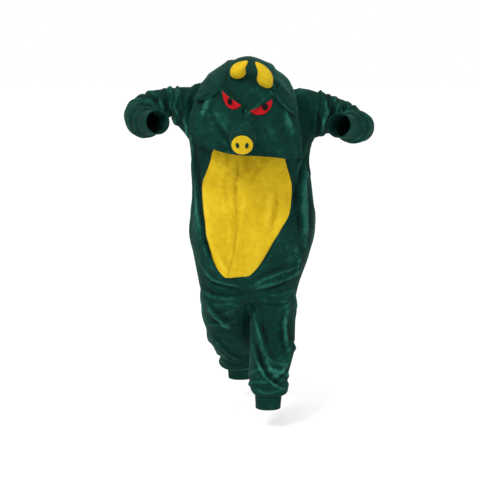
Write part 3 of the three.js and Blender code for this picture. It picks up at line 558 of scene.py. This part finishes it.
@dataclass
class Piece:
    """A piece of the garment, grown from its CAD node: rounded, creased and given its finish."""

    node: str
    finish: Finish
    sharp: float = 55.0
    obj: bpy.types.Object = field(init=False)

    def build(self, out: OutwardField, folds: Sequence[Fold | Ring]) -> None:
        """Args:
            out: the way out of the garment.
            folds: the creases to press in.
        """
        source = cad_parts[self.node]
        copy = source.data.copy()
        copy.transform(source.matrix_world)
        self.obj = bpy.data.objects.new(f"{self.node}_cloth", copy)
        bpy.context.scene.collection.objects.link(self.obj)
        activate(self.obj)
        self._round()
        if folds:
            self._press(out, folds)
        self.obj.data.materials.clear()
        self.obj.data.materials.append(self.finish.material())
        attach(self.obj, "root")
        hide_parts(self.node)
        self.declare()

    def _round(self) -> None:
        """Joins the solid's triangles to quads and rounds it, keeping its cut edges."""
        bpy.ops.object.mode_set(mode="EDIT")
        bpy.ops.mesh.select_all(action="SELECT")
        bpy.ops.mesh.remove_doubles(threshold=WELD)
        bpy.ops.mesh.tris_convert_to_quads(
            face_threshold=math.radians(FLAT_ANGLE),
            shape_threshold=math.radians(SQUARE_ANGLE),
        )
        bpy.ops.mesh.select_all(action="DESELECT")
        bpy.ops.mesh.select_mode(type="EDGE")
        bpy.ops.mesh.edges_select_sharp(sharpness=math.radians(self.sharp))
        bpy.ops.transform.edge_crease(value=1.0)
        bpy.ops.object.mode_set(mode="OBJECT")
        rounding = self.obj.modifiers.new("rounding", "SUBSURF")
        rounding.levels = ROUNDINGS
        rounding.render_levels = ROUNDINGS
        bpy.ops.object.modifier_apply(modifier=rounding.name)
        bpy.ops.object.shade_smooth_by_angle(angle=math.radians(SMOOTH_ANGLE))

    def _press(self, out: OutwardField, folds: Sequence[Fold | Ring]) -> None:
        """Moves the cloth along the way out, and keeps the painted highlight and shade of the folds as an
        attribute.

        Args:
            out: the way out of the garment.
            folds: the creases to press in.
        """
        mesh = self.obj.data
        flat = np.empty(len(mesh.vertices) * 3)
        mesh.vertices.foreach_get("co", flat)
        points = flat.reshape(-1, 3)
        outward = out.at(points)
        height = np.zeros(len(points))
        shade = np.zeros(len(points))
        for fold in folds:
            rise, light = fold.press(points, outward)
            height += rise
            shade += light
        # Painted highlight and shade from the folds, which the material adds to the colour.
        painted_fold_shade = mesh.attributes.new("painted_fold_shade", "FLOAT", "POINT")
        painted_fold_shade.data.foreach_set("value", np.clip(shade, -1.0, 1.0))
        mesh.vertices.foreach_set("co", (points + outward * height[:, None]).ravel())
        mesh.update()

    def declare(self) -> None:
        """Does nothing."""


@dataclass
class Cloth(Piece):
    """A cut panel of cloth, with the flat size that it was cut to."""

    width: float = 0.1
    length: float = 0.1
    area: float = 0.01
    held: Held = Held.DRAPED
    rests_on: tuple[str, ...] = ()

    def declare(self) -> None:
        """Does nothing."""


@dataclass
class Stuffed(Piece):
    """A piece of trim filled with wadding."""

    fill: float = 0.9

    def declare(self) -> None:
        """Does nothing."""


def cloth(
    node: str, finish: Finish, width: float, length: float, area: float, held: Held, *on: str
) -> Cloth:
    """A cut panel, with its sizes given in millimetres and square decimetres.

    Args:
        node: the CAD node.
        finish: the cloth's finish.
        width: the flat width.
        length: the flat length.
        area: the flat area.
        held: how it is kept in place.
        on: what it lies on or hangs from.

    Returns:
        The panel.
    """
    flat = {"width": width * MM, "length": length * MM, "area": area * SQUARE_DM}
    return Cloth(node, finish, **flat, held=held, rests_on=on)


FRONT, BACK, LEFT, RIGHT, TOP = Facing

# Folds of the trunk and legs, in millimetres: rise, half width and the line that each follows. Each also
# paints a highlight on its crest and shade in its troughs.
BODY_FOLDS: tuple[Fold, ...] = (
    Fold(FRONT, 7, 9, ((-163, -180), (-158, -260), (-152, -330), (-130, -400))),
    Fold(FRONT, -7, 8, ((-148, -200), (-146, -300), (-132, -390), (-112, -450))),
    Fold(FRONT, -7, 9, ((152, -170), (132, -250), (131, -320), (144, -380))),
    Fold(FRONT, 7, 9, ((166, -200), (150, -270), (150, -340), (166, -400))),
    Fold(FRONT, 5.5, 8, ((120, -420), (142, -455), (139, -500), (110, -530))),
    Fold(FRONT, 7, 7, ((-2, -541), (40, -515), (80, -500), (125, -490))),
    Fold(FRONT, -7, 7, ((4, -556), (50, -548), (96, -534), (132, -520))),
    Fold(FRONT, 5.5, 7, ((-10, -545), (-52, -530), (-100, -520), (-135, -500))),
    Fold(FRONT, -5.5, 7, ((-8, -560), (-60, -566), (-110, -560), (-140, -545))),
    Fold(FRONT, 6, 7, ((-128, -584), (-112, -615), (-82, -650), (-50, -680))),
    Fold(FRONT, -5.5, 8, ((-132, -620), (-100, -655), (-70, -690))),
    Fold(FRONT, 5.5, 7, ((-122, -668), (-84, -664), (-38, -650))),
    Fold(FRONT, 7, 7, ((-116, -700), (-92, -742), (-60, -782), (-20, -800))),
    Fold(FRONT, -5.5, 7, ((-104, -722), (-78, -766), (-44, -800))),
    Fold(FRONT, 7, 8, ((10, -620), (24, -670), (38, -716), (62, -760))),
    Fold(FRONT, 7, 7, ((4, -700), (18, -750), (40, -790), (78, -822), (104, -832))),
    Fold(FRONT, -7, 7, ((14, -700), (34, -760), (60, -800), (96, -820))),
    Fold(FRONT, 5.5, 7, ((112, -590), (98, -640), (100, -690), (104, -724))),
    Fold(FRONT, -5.5, 7, ((108, -600), (88, -650), (94, -706), (104, -744))),
    Fold(FRONT, 5.5, 6, ((110, -760), (86, -786), (60, -800))),
    Fold(FRONT, 4, 7, ((-70, -190), (-84, -250), (-78, -320))),
    Fold(FRONT, -4, 9, ((-62, -150), (-42, -190), (-20, -232)), 0.4),
    Fold(FRONT, -4, 9, ((44, -160), (22, -196), (2, -240)), 0.4),
    Fold(FRONT, -4, 6, ((72, -392), (46, -448), (16, -496)), 0.5),
    Fold(LEFT, 5, 18, ((-40, -590), (10, -636), (70, -690)), 0.0),
    Fold(RIGHT, 5, 18, ((-40, -590), (10, -636), (70, -690)), 0.0),
    Fold(FRONT, -4, 9, ((-30, -190), (-44, -240), (-36, -300), (-48, -360))),
    Fold(FRONT, 3.5, 9, ((40, -230), (56, -300), (44, -370))),
    Fold(FRONT, -3.5, 9, ((72, -260), (70, -330), (50, -400))),
    Fold(FRONT, 4, 7, ((-96, -430), (-80, -470), (-60, -500))),
    Fold(FRONT, 4, 6, ((-80, -818), (-50, -828), (-10, -822))),
    Fold(FRONT, 4, 6, ((8, -826), (44, -838), (92, -830))),
    Fold(BACK, 5, 10, ((-130, -60), (-112, -160), (-118, -260), (-132, -340))),
    Fold(BACK, 5, 10, ((128, -70), (104, -170), (110, -280), (136, -350))),
    Fold(BACK, -5, 10, ((-76, -60), (-66, -180), (-84, -300), (-70, -380))),
    Fold(BACK, -4, 10, ((70, -80), (60, -190), (78, -310), (64, -390))),
    Fold(BACK, 4, 10, ((-24, -40), (-34, -150), (-22, -260))),
    Fold(BACK, 4, 10, ((30, -90), (22, -200), (36, -300))),
    Fold(BACK, 5, 9, ((-160, -400), (-96, -446), (-24, -486))),
    Fold(BACK, 5, 9, ((160, -410), (100, -452), (26, -500))),
    Fold(BACK, -5, 9, ((-150, -462), (-90, -506), (-20, -546))),
    Fold(BACK, -5, 9, ((146, -480), (86, -530), (20, -572))),
    Fold(BACK, 4, 8, ((-140, -540), (-86, -572), (-20, -580))),
    Fold(BACK, 4, 8, ((134, -560), (80, -596), (20, -600))),
    Fold(BACK, 5, 8, ((-124, -640), (-74, -676), (-16, -680))),
    Fold(BACK, 5, 8, ((124, -640), (78, -668), (24, -664))),
    Fold(BACK, -4, 8, ((-116, -700), (-66, -716), (-12, -704))),
    Fold(BACK, -4, 8, ((118, -712), (72, -736), (20, -726))),
    Fold(BACK, 4, 7, ((-90, -760), (-48, -782), (6, -772))),
    Fold(BACK, 4, 7, ((106, -788), (62, -812), (14, -800))),
    Fold(LEFT, 4.5, 9, ((-78, -190), (-56, -280), (-70, -380), (-46, -470))),
    Fold(LEFT, 4.5, 9, ((16, -180), (34, -300), (12, -410), (38, -500))),
    Fold(LEFT, 4, 11, ((-60, -560), (-10, -610), (40, -620))),
    Fold(LEFT, 5.5, 8, ((-90, -690), (-50, -730), (0, -740))),
    Fold(RIGHT, 7, 9, ((-50, -160), (-24, -250), (-40, -340), (-10, -440))),
    Fold(RIGHT, -5.5, 9, ((24, -170), (44, -270), (30, -380), (54, -460))),
    Fold(RIGHT, 4, 11, ((-40, -560), (10, -600), (70, -600))),
    Fold(RIGHT, 5.5, 8, ((30, -700), (80, -740), (130, -740))),
    Fold(RIGHT, -5.5, 7, ((60, -770), (110, -800), (160, -800))),
)

# Finer creases between them, and the shade under the brim.
CREASES: tuple[Fold, ...] = (
    Fold(FRONT, 4, 4.5, ((-180, -60), (-168, -120), (-160, -180), (-164, -240))),
    Fold(FRONT, 4, 4, ((168, -110), (150, -170), (134, -220), (128, -270))),
    Fold(FRONT, -3, 4, ((158, -120), (140, -176), (124, -214))),
    Fold(FRONT, 4, 4.5, ((150, -250), (132, -330), (126, -400), (104, -470))),
    Fold(FRONT, 4, 4.5, ((-156, -330), (-140, -400), (-120, -450), (-96, -500))),
    # These two are painted shade under the brim, over a shallow dent.
    Fold(FRONT, -3, 12, ((-176, -130), (-150, -140), (-116, -156), (-80, -164)), 0.1),
    Fold(FRONT, -3, 12, ((170, -120), (162, -164), (140, -180), (112, -182)), 0.1),
    Fold(FRONT, 3, 4.5, ((-172, -210), (-166, -290), (-160, -350), (-146, -410))),
    Fold(FRONT, 3, 4, ((-140, -230), (-142, -300), (-134, -350))),
    Fold(FRONT, -3, 4, ((-120, -420), (-100, -470), (-74, -505))),
    Fold(FRONT, 3, 4.5, ((-150, -430), (-138, -480), (-104, -520), (-60, -540))),
    Fold(FRONT, 3, 4, ((-144, -500), (-110, -536), (-64, -552))),
    Fold(FRONT, 3, 4.5, ((172, -230), (160, -310), (166, -380), (156, -440))),
    Fold(FRONT, -3, 4, ((140, -200), (146, -270), (138, -330))),
    Fold(FRONT, 3, 4.5, ((158, -440), (134, -484), (92, -510), (48, -522))),
    Fold(FRONT, 3, 4, ((150, -490), (112, -520), (60, -536))),
    Fold(FRONT, -3, 4, ((138, -548), (90, -556), (30, -562))),
    Fold(FRONT, 3, 4, ((118, -584), (92, -588), (52, -586), (14, -578))),
    Fold(FRONT, 3, 4.5, ((-116, -592), (-88, -596), (-50, -588), (-12, -574))),
    Fold(FRONT, -3, 4, ((-2, -570), (-14, -620), (-12, -680), (-8, -740))),
    Fold(FRONT, 3, 4.5, ((-4, -566), (20, -604), (30, -650), (26, -700))),
    Fold(FRONT, 3, 4, ((-118, -640), (-84, -628), (-44, -610))),
    Fold(FRONT, 3, 4.5, ((-110, -690), (-70, -700), (-30, -690))),
    Fold(FRONT, -3, 4, ((-106, -714), (-74, -740), (-34, -750))),
    Fold(FRONT, 3, 4, ((-92, -764), (-62, -796), (-28, -808))),
    Fold(FRONT, 3, 4.5, ((116, -640), (84, -668), (44, -674))),
    Fold(FRONT, 3, 4, ((120, -676), (92, -706), (54, -716))),
    Fold(FRONT, -3, 4, ((118, -712), (84, -738), (44, -742))),
    Fold(FRONT, 3, 4.5, ((8, -660), (26, -716), (56, -752), (96, -764))),
    Fold(FRONT, 3, 4, ((6, -764), (28, -800), (64, -822))),
    Fold(FRONT, -3, 4, ((104, -784), (78, -808), (44, -816))),
    Fold(FRONT, 2, 6, ((-52, -160), (-62, -230), (-50, -310), (-60, -400), (-44, -470)), 0.3),
    Fold(FRONT, -2, 6, ((-76, -210), (-88, -290), (-74, -380)), 0.3),
    Fold(FRONT, 2, 7, ((52, -190), (64, -260), (50, -340), (54, -420)), 0.3),
    Fold(FRONT, -2, 5, ((-17, -150), (-22, -240), (-30, -330), (-44, -430), (-52, -500)), 0.2),
    Fold(BACK, 3, 4.5, ((-150, -180), (-140, -270), (-150, -360))),
    Fold(BACK, 3, 4.5, ((152, -190), (140, -280), (152, -370))),
    Fold(BACK, 3, 4.5, ((-130, -520), (-84, -548), (-30, -560))),
    Fold(BACK, 3, 4.5, ((128, -524), (84, -560), (28, -584))),
    Fold(BACK, 3, 4, ((-112, -668), (-72, -694), (-20, -696))),
    Fold(BACK, 3, 4, ((112, -690), (72, -704), (28, -700))),
)

# Folds of the shoulders and sleeves.
ARM_FOLDS: tuple[Fold, ...] = (
    Fold(FRONT, 4, 4, ((-206, 22), (-196, -10), (-190, -50), (-184, -90))),
    Fold(FRONT, -3, 4, ((-222, 22), (-212, -14), (-204, -60))),
    Fold(FRONT, 4, 4, ((-236, 18), (-228, -16), (-216, -56), (-206, -96))),
    Fold(FRONT, 3.5, 4, ((-262, 12), (-250, -20), (-236, -50))),
    Fold(FRONT, -3, 4, ((-280, 4), (-262, -20), (-244, -44))),
    Fold(FRONT, 4, 4, ((196, 8), (190, -30), (184, -70), (178, -110))),
    Fold(FRONT, -3, 4, ((212, 4), (206, -36), (196, -80))),
    Fold(FRONT, 4, 4, ((230, -4), (222, -36), (208, -76), (196, -112))),
    Fold(FRONT, 3.5, 4, ((254, -14), (244, -44), (226, -80))),
    Fold(FRONT, -3, 4, ((272, -26), (256, -52), (236, -76))),
    Fold(TOP, 4, 4.5, ((-214, -50), (-208, 0), (-212, 50))),
    Fold(TOP, 3.5, 4, ((-238, -56), (-230, 0), (-236, 44))),
    Fold(TOP, 4, 4.5, ((206, -50), (200, 0), (206, 50))),
    Fold(TOP, 3.5, 4, ((230, -56), (224, 0), (230, 44))),
    Fold(FRONT, 6, 6, ((-206, 10), (-214, -30), (-196, -70))),
    Fold(FRONT, -6, 6, ((-226, 8), (-232, -30), (-218, -62))),
    Fold(FRONT, 5, 6, ((-250, 4), (-252, -34), (-240, -64))),
    Fold(FRONT, -6, 6, ((-186, -30), (-198, -70), (-184, -104))),
    Fold(FRONT, 6, 6, ((-178, -60), (-180, -100), (-176, -130))),
    Fold(TOP, 5, 6, ((-270, -40), (-290, -10), (-300, 16))),
    Fold(TOP, -5, 6, ((-350, -70), (-320, -84), (-286, -78))),
    Fold(TOP, 5, 7, ((-348, -110), (-318, -118), (-276, -116))),
    Fold(TOP, -4.5, 6, ((-338, -150), (-306, -150), (-262, -148))),
    Fold(FRONT, 6, 6, ((210, 0), (216, -50), (200, -92))),
    Fold(FRONT, -6, 6, ((232, -4), (236, -52), (222, -98))),
    Fold(FRONT, 5, 6, ((254, -12), (258, -60), (244, -100))),
    Fold(FRONT, -6, 6, ((188, -40), (198, -84), (186, -120))),
    Fold(TOP, 5, 6, ((262, -40), (282, -10), (296, 16))),
    Fold(TOP, -5, 6, ((344, -70), (314, -84), (276, -78))),
    Fold(TOP, 5, 7, ((340, -112), (306, -120), (264, -114))),
    Fold(TOP, -4.5, 6, ((324, -152), (292, -152), (250, -148))),
    Fold(BACK, 6, 7, ((-210, 14), (-226, -30), (-214, -76))),
    Fold(BACK, -6, 7, ((-254, 8), (-264, -30), (-254, -64))),
    Fold(BACK, 6, 7, ((216, 4), (230, -46), (218, -96))),
    Fold(BACK, -6, 7, ((258, -14), (268, -60), (258, -100))),
)

# Slack pushed up the arms, and above the ankle bands: where each ring is, and the way that it faces.
SLEEVE_RINGS: tuple[Ring, ...] = (
    Ring((-212, 0, -36), (-1.0, -0.1, 0.05), 3.5, 6, 20),
    Ring((-236, -3, -32), (-1.0, -0.2, 0.1), 3.5, 6, 200),
    Ring((-262, -8, -32), (-0.9, -0.4, 0.0), 3.5, 6, 60),
    Ring((-303, -52, -46), (-0.1, -0.97, -0.2), 4.5, 7, 170),
    Ring((-306, -76, -52), (0.0, -0.97, -0.2), 5, 6.5, 120),
    Ring((-306, -100, -57), (0.1, -0.98, -0.15), 5, 6.5, 200),
    Ring((-300, -122, -61), (0.3, -0.95, -0.05), 4.5, 6, 150),
    Ring((-289, -143, -62), (0.45, -0.88, -0.03), 4.5, 6, 90),
    Ring((-279, -163, -63), (0.47, -0.88, 0.0), 4, 5.5, 180),
    Ring((212, 0, -52), (1.0, -0.1, -0.05), 3.5, 6, 160),
    Ring((236, -4, -58), (1.0, -0.2, -0.1), 3.5, 6, 340),
    Ring((260, -9, -64), (0.9, -0.4, -0.1), 3.5, 6, 120),
    Ring((297, -52, -78), (0.05, -0.99, -0.1), 4.5, 7, 10),
    Ring((299, -76, -81), (0.0, -1.0, -0.1), 5, 6.5, 60),
    Ring((298, -100, -83), (-0.1, -0.99, 0.0), 5, 6.5, 340),
    Ring((291, -122, -82), (-0.3, -0.95, 0.05), 4.5, 6, 30),
    Ring((280, -143, -80), (-0.5, -0.86, 0.05), 4.5, 6, 90),
    Ring((268, -163, -78), (-0.5, -0.86, 0.05), 4, 5.5, 0),
)

LEG_RINGS: tuple[Ring, ...] = (
    Ring((-33, 142, -816), (0.05, 0.45, -0.9), 4, 6, 100),
    Ring((-40, 118, -788), (0.1, 0.6, -0.8), 3.5, 7, 240),
    Ring((55, -90, -826), (0.0, -0.3, -0.95), 4, 6, 60),
    Ring((54, -78, -800), (-0.05, -0.4, -0.9), 3.5, 7, 200),
)

# Folds of the hood, its brow and the hem of its brim.
HOOD_FOLDS: tuple[Fold, ...] = (
    Fold(FRONT, 5, 8, ((-80, 52), (-104, 10), (-126, -30), (-142, -74), (-150, -96))),
    Fold(FRONT, -4.5, 8, ((-98, 56), (-126, 10), (-144, -40))),
    Fold(FRONT, 5, 8, ((92, -30), (104, -66), (122, -104), (132, -130))),
    Fold(FRONT, -4.5, 8, ((76, -40), (88, -80), (100, -120))),
    Fold(FRONT, 4, 7, ((62, 60), (86, 34), (112, 6))),
    Fold(FRONT, -4, 8, ((-112, -40), (-84, -80), (-60, -104))),
    Fold(FRONT, 4, 8, ((-104, -84), (-76, -112), (-56, -130))),
    Fold(FRONT, -4, 8, ((28, -60), (44, -96), (60, -130))),
    Fold(FRONT, 5.5, 5, ((-100, 34), (-78, 18), (-46, -8), (-8, -38), (6, -52)), 0.25),
    Fold(FRONT, 5.5, 5, ((78, 30), (60, 16), (30, -8), (-4, -38), (-20, -50)), 0.25),
    Fold(
        FRONT, -2.5, 4,
        ((-170, -80), (-140, -100), (-96, -119), (-29, -138), (60, -149), (138, -150)), 0.0,
    ),
    # A low ridge along the brim's hem, painted with a highlight line.
    Fold(
        FRONT, 3, 6,
        ((-170, -106), (-140, -122), (-106, -139), (-25, -160), (40, -166), (95, -168), (146, -166)), 0.0,
    ),
    Fold(FRONT, 3, 4, ((-158, -20), (-166, -60), (-174, -90)), 0.3),
    Fold(FRONT, -3.5, 5, ((-112, 60), (-118, 26), (-134, -12))),
    Fold(FRONT, 4, 5, ((58, 40), (74, 6), (96, -34), (118, -52))),
    Fold(FRONT, -3.5, 5, ((70, 44), (90, 6), (112, -30))),
    Fold(FRONT, 4, 5, ((-16, -62), (6, -92), (20, -124)), 0.4),
    Fold(FRONT, 3, 4, ((138, -60), (144, -110), (147, -156)), 0.3),
    Fold(FRONT, -3, 4.5, ((-38, -66), (-34, -84), (-32, -98)), 0.3),
    Fold(FRONT, 3, 4, ((-128, 20), (-120, -20), (-104, -60), (-96, -90))),
    Fold(FRONT, -3, 4.5, ((20, -70), (34, -108), (40, -140))),
    Fold(LEFT, 5, 9, ((-30, 60), (-80, 30), (-120, -20), (-160, -80))),
    Fold(LEFT, -5, 9, ((-20, 30), (-70, -10), (-110, -60))),
    Fold(RIGHT, 5, 9, ((-30, 66), (-80, 40), (-120, -6), (-160, -60))),
    Fold(RIGHT, -5, 9, ((-20, 40), (-70, 4), (-110, -44))),
    Fold(TOP, 4, 9, ((-50, 40), (-62, -30), (-60, -100))),
    Fold(TOP, 4, 9, ((46, 36), (60, -40), (54, -100))),
    Fold(BACK, -5, 9, ((-70, 30), (-20, 44), (40, 36))),
)

# Ridges on the ears, raised a little and painted with a highlight along each and shade beside it.
EAR_FOLDS: tuple[Fold, ...] = (
    Fold(FRONT, 3.5, 5, ((64, 14), (80, -12), (102, -34), (124, -48))),
    Fold(FRONT, 3, 4.5, ((76, -26), (92, -46), (112, -58)), 0.2),
    Fold(FRONT, 3.5, 5, ((-100, 22), (-122, 14), (-148, -2), (-160, -14))),
    Fold(FRONT, 3, 4.5, ((-96, 6), (-118, 0), (-140, -12)), 0.2),
)

# Each cut panel with its flat size, what it hangs from, and its folds.
CLOTHS: tuple[tuple[Cloth, tuple[Fold | Ring, ...]], ...] = (
    (cloth("front_left", GREEN, 255, 900, 15.5, Held.HUNG, "back_left"), BODY_FOLDS + CREASES + LEG_RINGS),
    (
        cloth("front_right", GREEN, 250, 900, 14.5, Held.HUNG, "back_right"),
        BODY_FOLDS + CREASES + LEG_RINGS,
    ),
    (cloth("back_left", GREEN, 265, 910, 20.6, Held.HUNG, "front_left"), BODY_FOLDS + CREASES + LEG_RINGS),
    (
        cloth("back_right", GREEN, 260, 910, 19.8, Held.HUNG, "front_right"),
        BODY_FOLDS + CREASES + LEG_RINGS,
    ),
    (cloth("belly_left", YELLOW, 175, 435, 4.9, Held.HUNG, "front_left"), BODY_FOLDS + CREASES),
    (cloth("belly_right", YELLOW, 145, 435, 3.9, Held.HUNG, "front_right"), BODY_FOLDS + CREASES),
    (cloth("sleeve_left", GREEN, 340, 330, 9.6, Held.GATHERED, "front_left"), ARM_FOLDS + SLEEVE_RINGS),
    (cloth("sleeve_right", GREEN, 340, 330, 9.9, Held.GATHERED, "front_right"), ARM_FOLDS + SLEEVE_RINGS),
    (cloth("sleeve_cuff_left", GREEN, 240, 39, 0.93, Held.STRETCHED, "sleeve_left"), ()),
    (cloth("sleeve_cuff_right", GREEN, 240, 39, 0.92, Held.STRETCHED, "sleeve_right"), ()),
    (cloth("leg_cuff_left", GREEN, 250, 40, 0.98, Held.STRETCHED, "front_left"), ()),
    (cloth("leg_cuff_right", GREEN, 250, 41, 1.01, Held.STRETCHED, "front_right"), ()),
    (cloth("hood_top", GREEN, 125, 390, 3.6, Held.DRAPED, "hood_side_left", "hood_side_right"), HOOD_FOLDS),
    (cloth("hood_side_left", GREEN, 250, 360, 7.4, Held.DRAPED, "hood_top"), HOOD_FOLDS),
    (cloth("hood_side_right", GREEN, 250, 360, 6.9, Held.DRAPED, "hood_top"), HOOD_FOLDS),
    (cloth("chin_left", YELLOW, 75, 140, 0.62, Held.HUNG, "hood_side_left"), ()),
    (cloth("chin_right", YELLOW, 75, 140, 0.65, Held.HUNG, "hood_side_right"), ()),
    (cloth("ear_left", GREEN, 60, 85, 0.48, Held.HUNG, "hood_side_left"), EAR_FOLDS),
    (cloth("ear_right", GREEN, 50, 70, 0.32, Held.HUNG, "hood_side_right"), EAR_FOLDS),
    (cloth("eye_left", RED, 30, 64, 0.15, Held.LAID, "hood_side_left"), HOOD_FOLDS),
    (cloth("eye_right", RED, 30, 60, 0.13, Held.LAID, "hood_side_right"), HOOD_FOLDS),
    (cloth("pupil_left", BLACK, 16, 20, 0.026, Held.LAID, "eye_left"), HOOD_FOLDS),
    (cloth("pupil_right", BLACK, 15, 18, 0.02, Held.LAID, "eye_right"), HOOD_FOLDS),
    (cloth("nostril_left", DARK_GREEN, 10, 17, 0.014, Held.LAID, "snout_disc"), ()),
    (cloth("nostril_right", DARK_GREEN, 10, 17, 0.014, Held.LAID, "snout_disc"), ()),
)

STUFFED: tuple[Stuffed, ...] = (
    Stuffed("horn_left", YELLOW, sharp=85.0, fill=0.95),
    Stuffed("horn_right", YELLOW, sharp=85.0, fill=0.95),
    Stuffed("snout", GREEN, sharp=85.0, fill=0.9),
    Stuffed("snout_disc", YELLOW, sharp=85.0, fill=0.85),
)


@dataclass(frozen=True)
class Studio:
    """Floor, lights and camera."""

    floor_z: float = -0.95
    distance: float = 3.5
    camera_x: float = -0.029
    camera_z: float = 0.139
    lens: float = 91.2
    tilt: float = 9.06
    sensor: float = 36.0
    floor_size: float = 60.0
    floor_tone: float = 0.86
    floor_glow: float = 0.2
    key_place: tuple[float, float, float] = (-1.7, -2.2, 2.1)
    key_size: float = 1.0
    key_watts: float = 64.0
    fill_place: tuple[float, float, float] = (2.4, -2.6, 0.9)
    fill_size: float = 1.6
    fill_watts: float = 12.0
    aim: tuple[float, float, float] = (0.0, 0.0, -0.35)

    def build(self) -> None:
        """Places the floor, the lights and the camera."""
        bpy.context.scene.view_settings.view_transform = "Standard"
        self._floor()
        world = bpy.data.worlds.new("studio_air")
        world.use_nodes = True
        world.node_tree.nodes["Background"].inputs[0].default_value = (1.0, 1.0, 1.0, 1.0)
        world.node_tree.nodes["Background"].inputs[1].default_value = 1.0
        bpy.context.scene.world = world
        self._light("key", self.key_place, self.key_size, self.key_watts)
        self._light("fill", self.fill_place, self.fill_size, self.fill_watts)
        camera = bpy.data.cameras.new("camera")
        camera.lens = self.lens
        camera.sensor_width = self.sensor
        holder = bpy.data.objects.new("camera", camera)
        holder.location = (self.camera_x, -self.distance, self.camera_z)
        holder.rotation_euler = (math.radians(90.0 - self.tilt), 0.0, 0.0)
        bpy.context.scene.collection.objects.link(holder)
        bpy.context.scene.camera = holder

    def _floor(self) -> None:
        """Lays the plain pale floor."""
        bpy.ops.mesh.primitive_plane_add(size=self.floor_size, location=(0.0, 0.0, self.floor_z))
        floor = bpy.context.object
        floor.name = "studio_floor"
        paint = bpy.data.materials.new("studio_white")
        paint.use_nodes = True
        shader = paint.node_tree.nodes["Principled BSDF"]
        shader.inputs["Base Color"].default_value = (*[self.floor_tone] * 3, 1.0)
        shader.inputs["Roughness"].default_value = 0.9
        shader.inputs["Emission Color"].default_value = (1.0, 1.0, 1.0, 1.0)
        shader.inputs["Emission Strength"].default_value = self.floor_glow
        floor.data.materials.append(paint)

    def _light(self, name: str, place: tuple[float, float, float], size: float, watts: float) -> None:
        """Hangs a soft lamp that faces the middle of the garment.

        Args:
            name: the lamp's name.
            place: where it hangs, in metres.
            size: its width in metres.
            watts: its power.
        """
        lamp = bpy.data.lights.new(name, "AREA")
        lamp.size = size
        lamp.energy = watts
        holder = bpy.data.objects.new(name, lamp)
        holder.location = place
        aim = Vector(self.aim) - Vector(place)
        holder.rotation_euler = aim.to_track_quat("-Z", "Y").to_euler()
        bpy.context.scene.collection.objects.link(holder)


def main() -> None:
    """Builds the garment and its studio."""
    logging.basicConfig(level=logging.INFO)
    names = [piece.node for piece, _ in CLOTHS if not piece.node.startswith(TRIM)]
    out = OutwardField([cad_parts[name] for name in names])
    for piece, folds in CLOTHS:
        piece.build(out, folds)
        log.info("%s: %d faces", piece.node, len(piece.obj.data.polygons))
    for stuffed in STUFFED:
        stuffed.build(out, ())
    Studio().build()


if __name__ == "__main__":
    main()
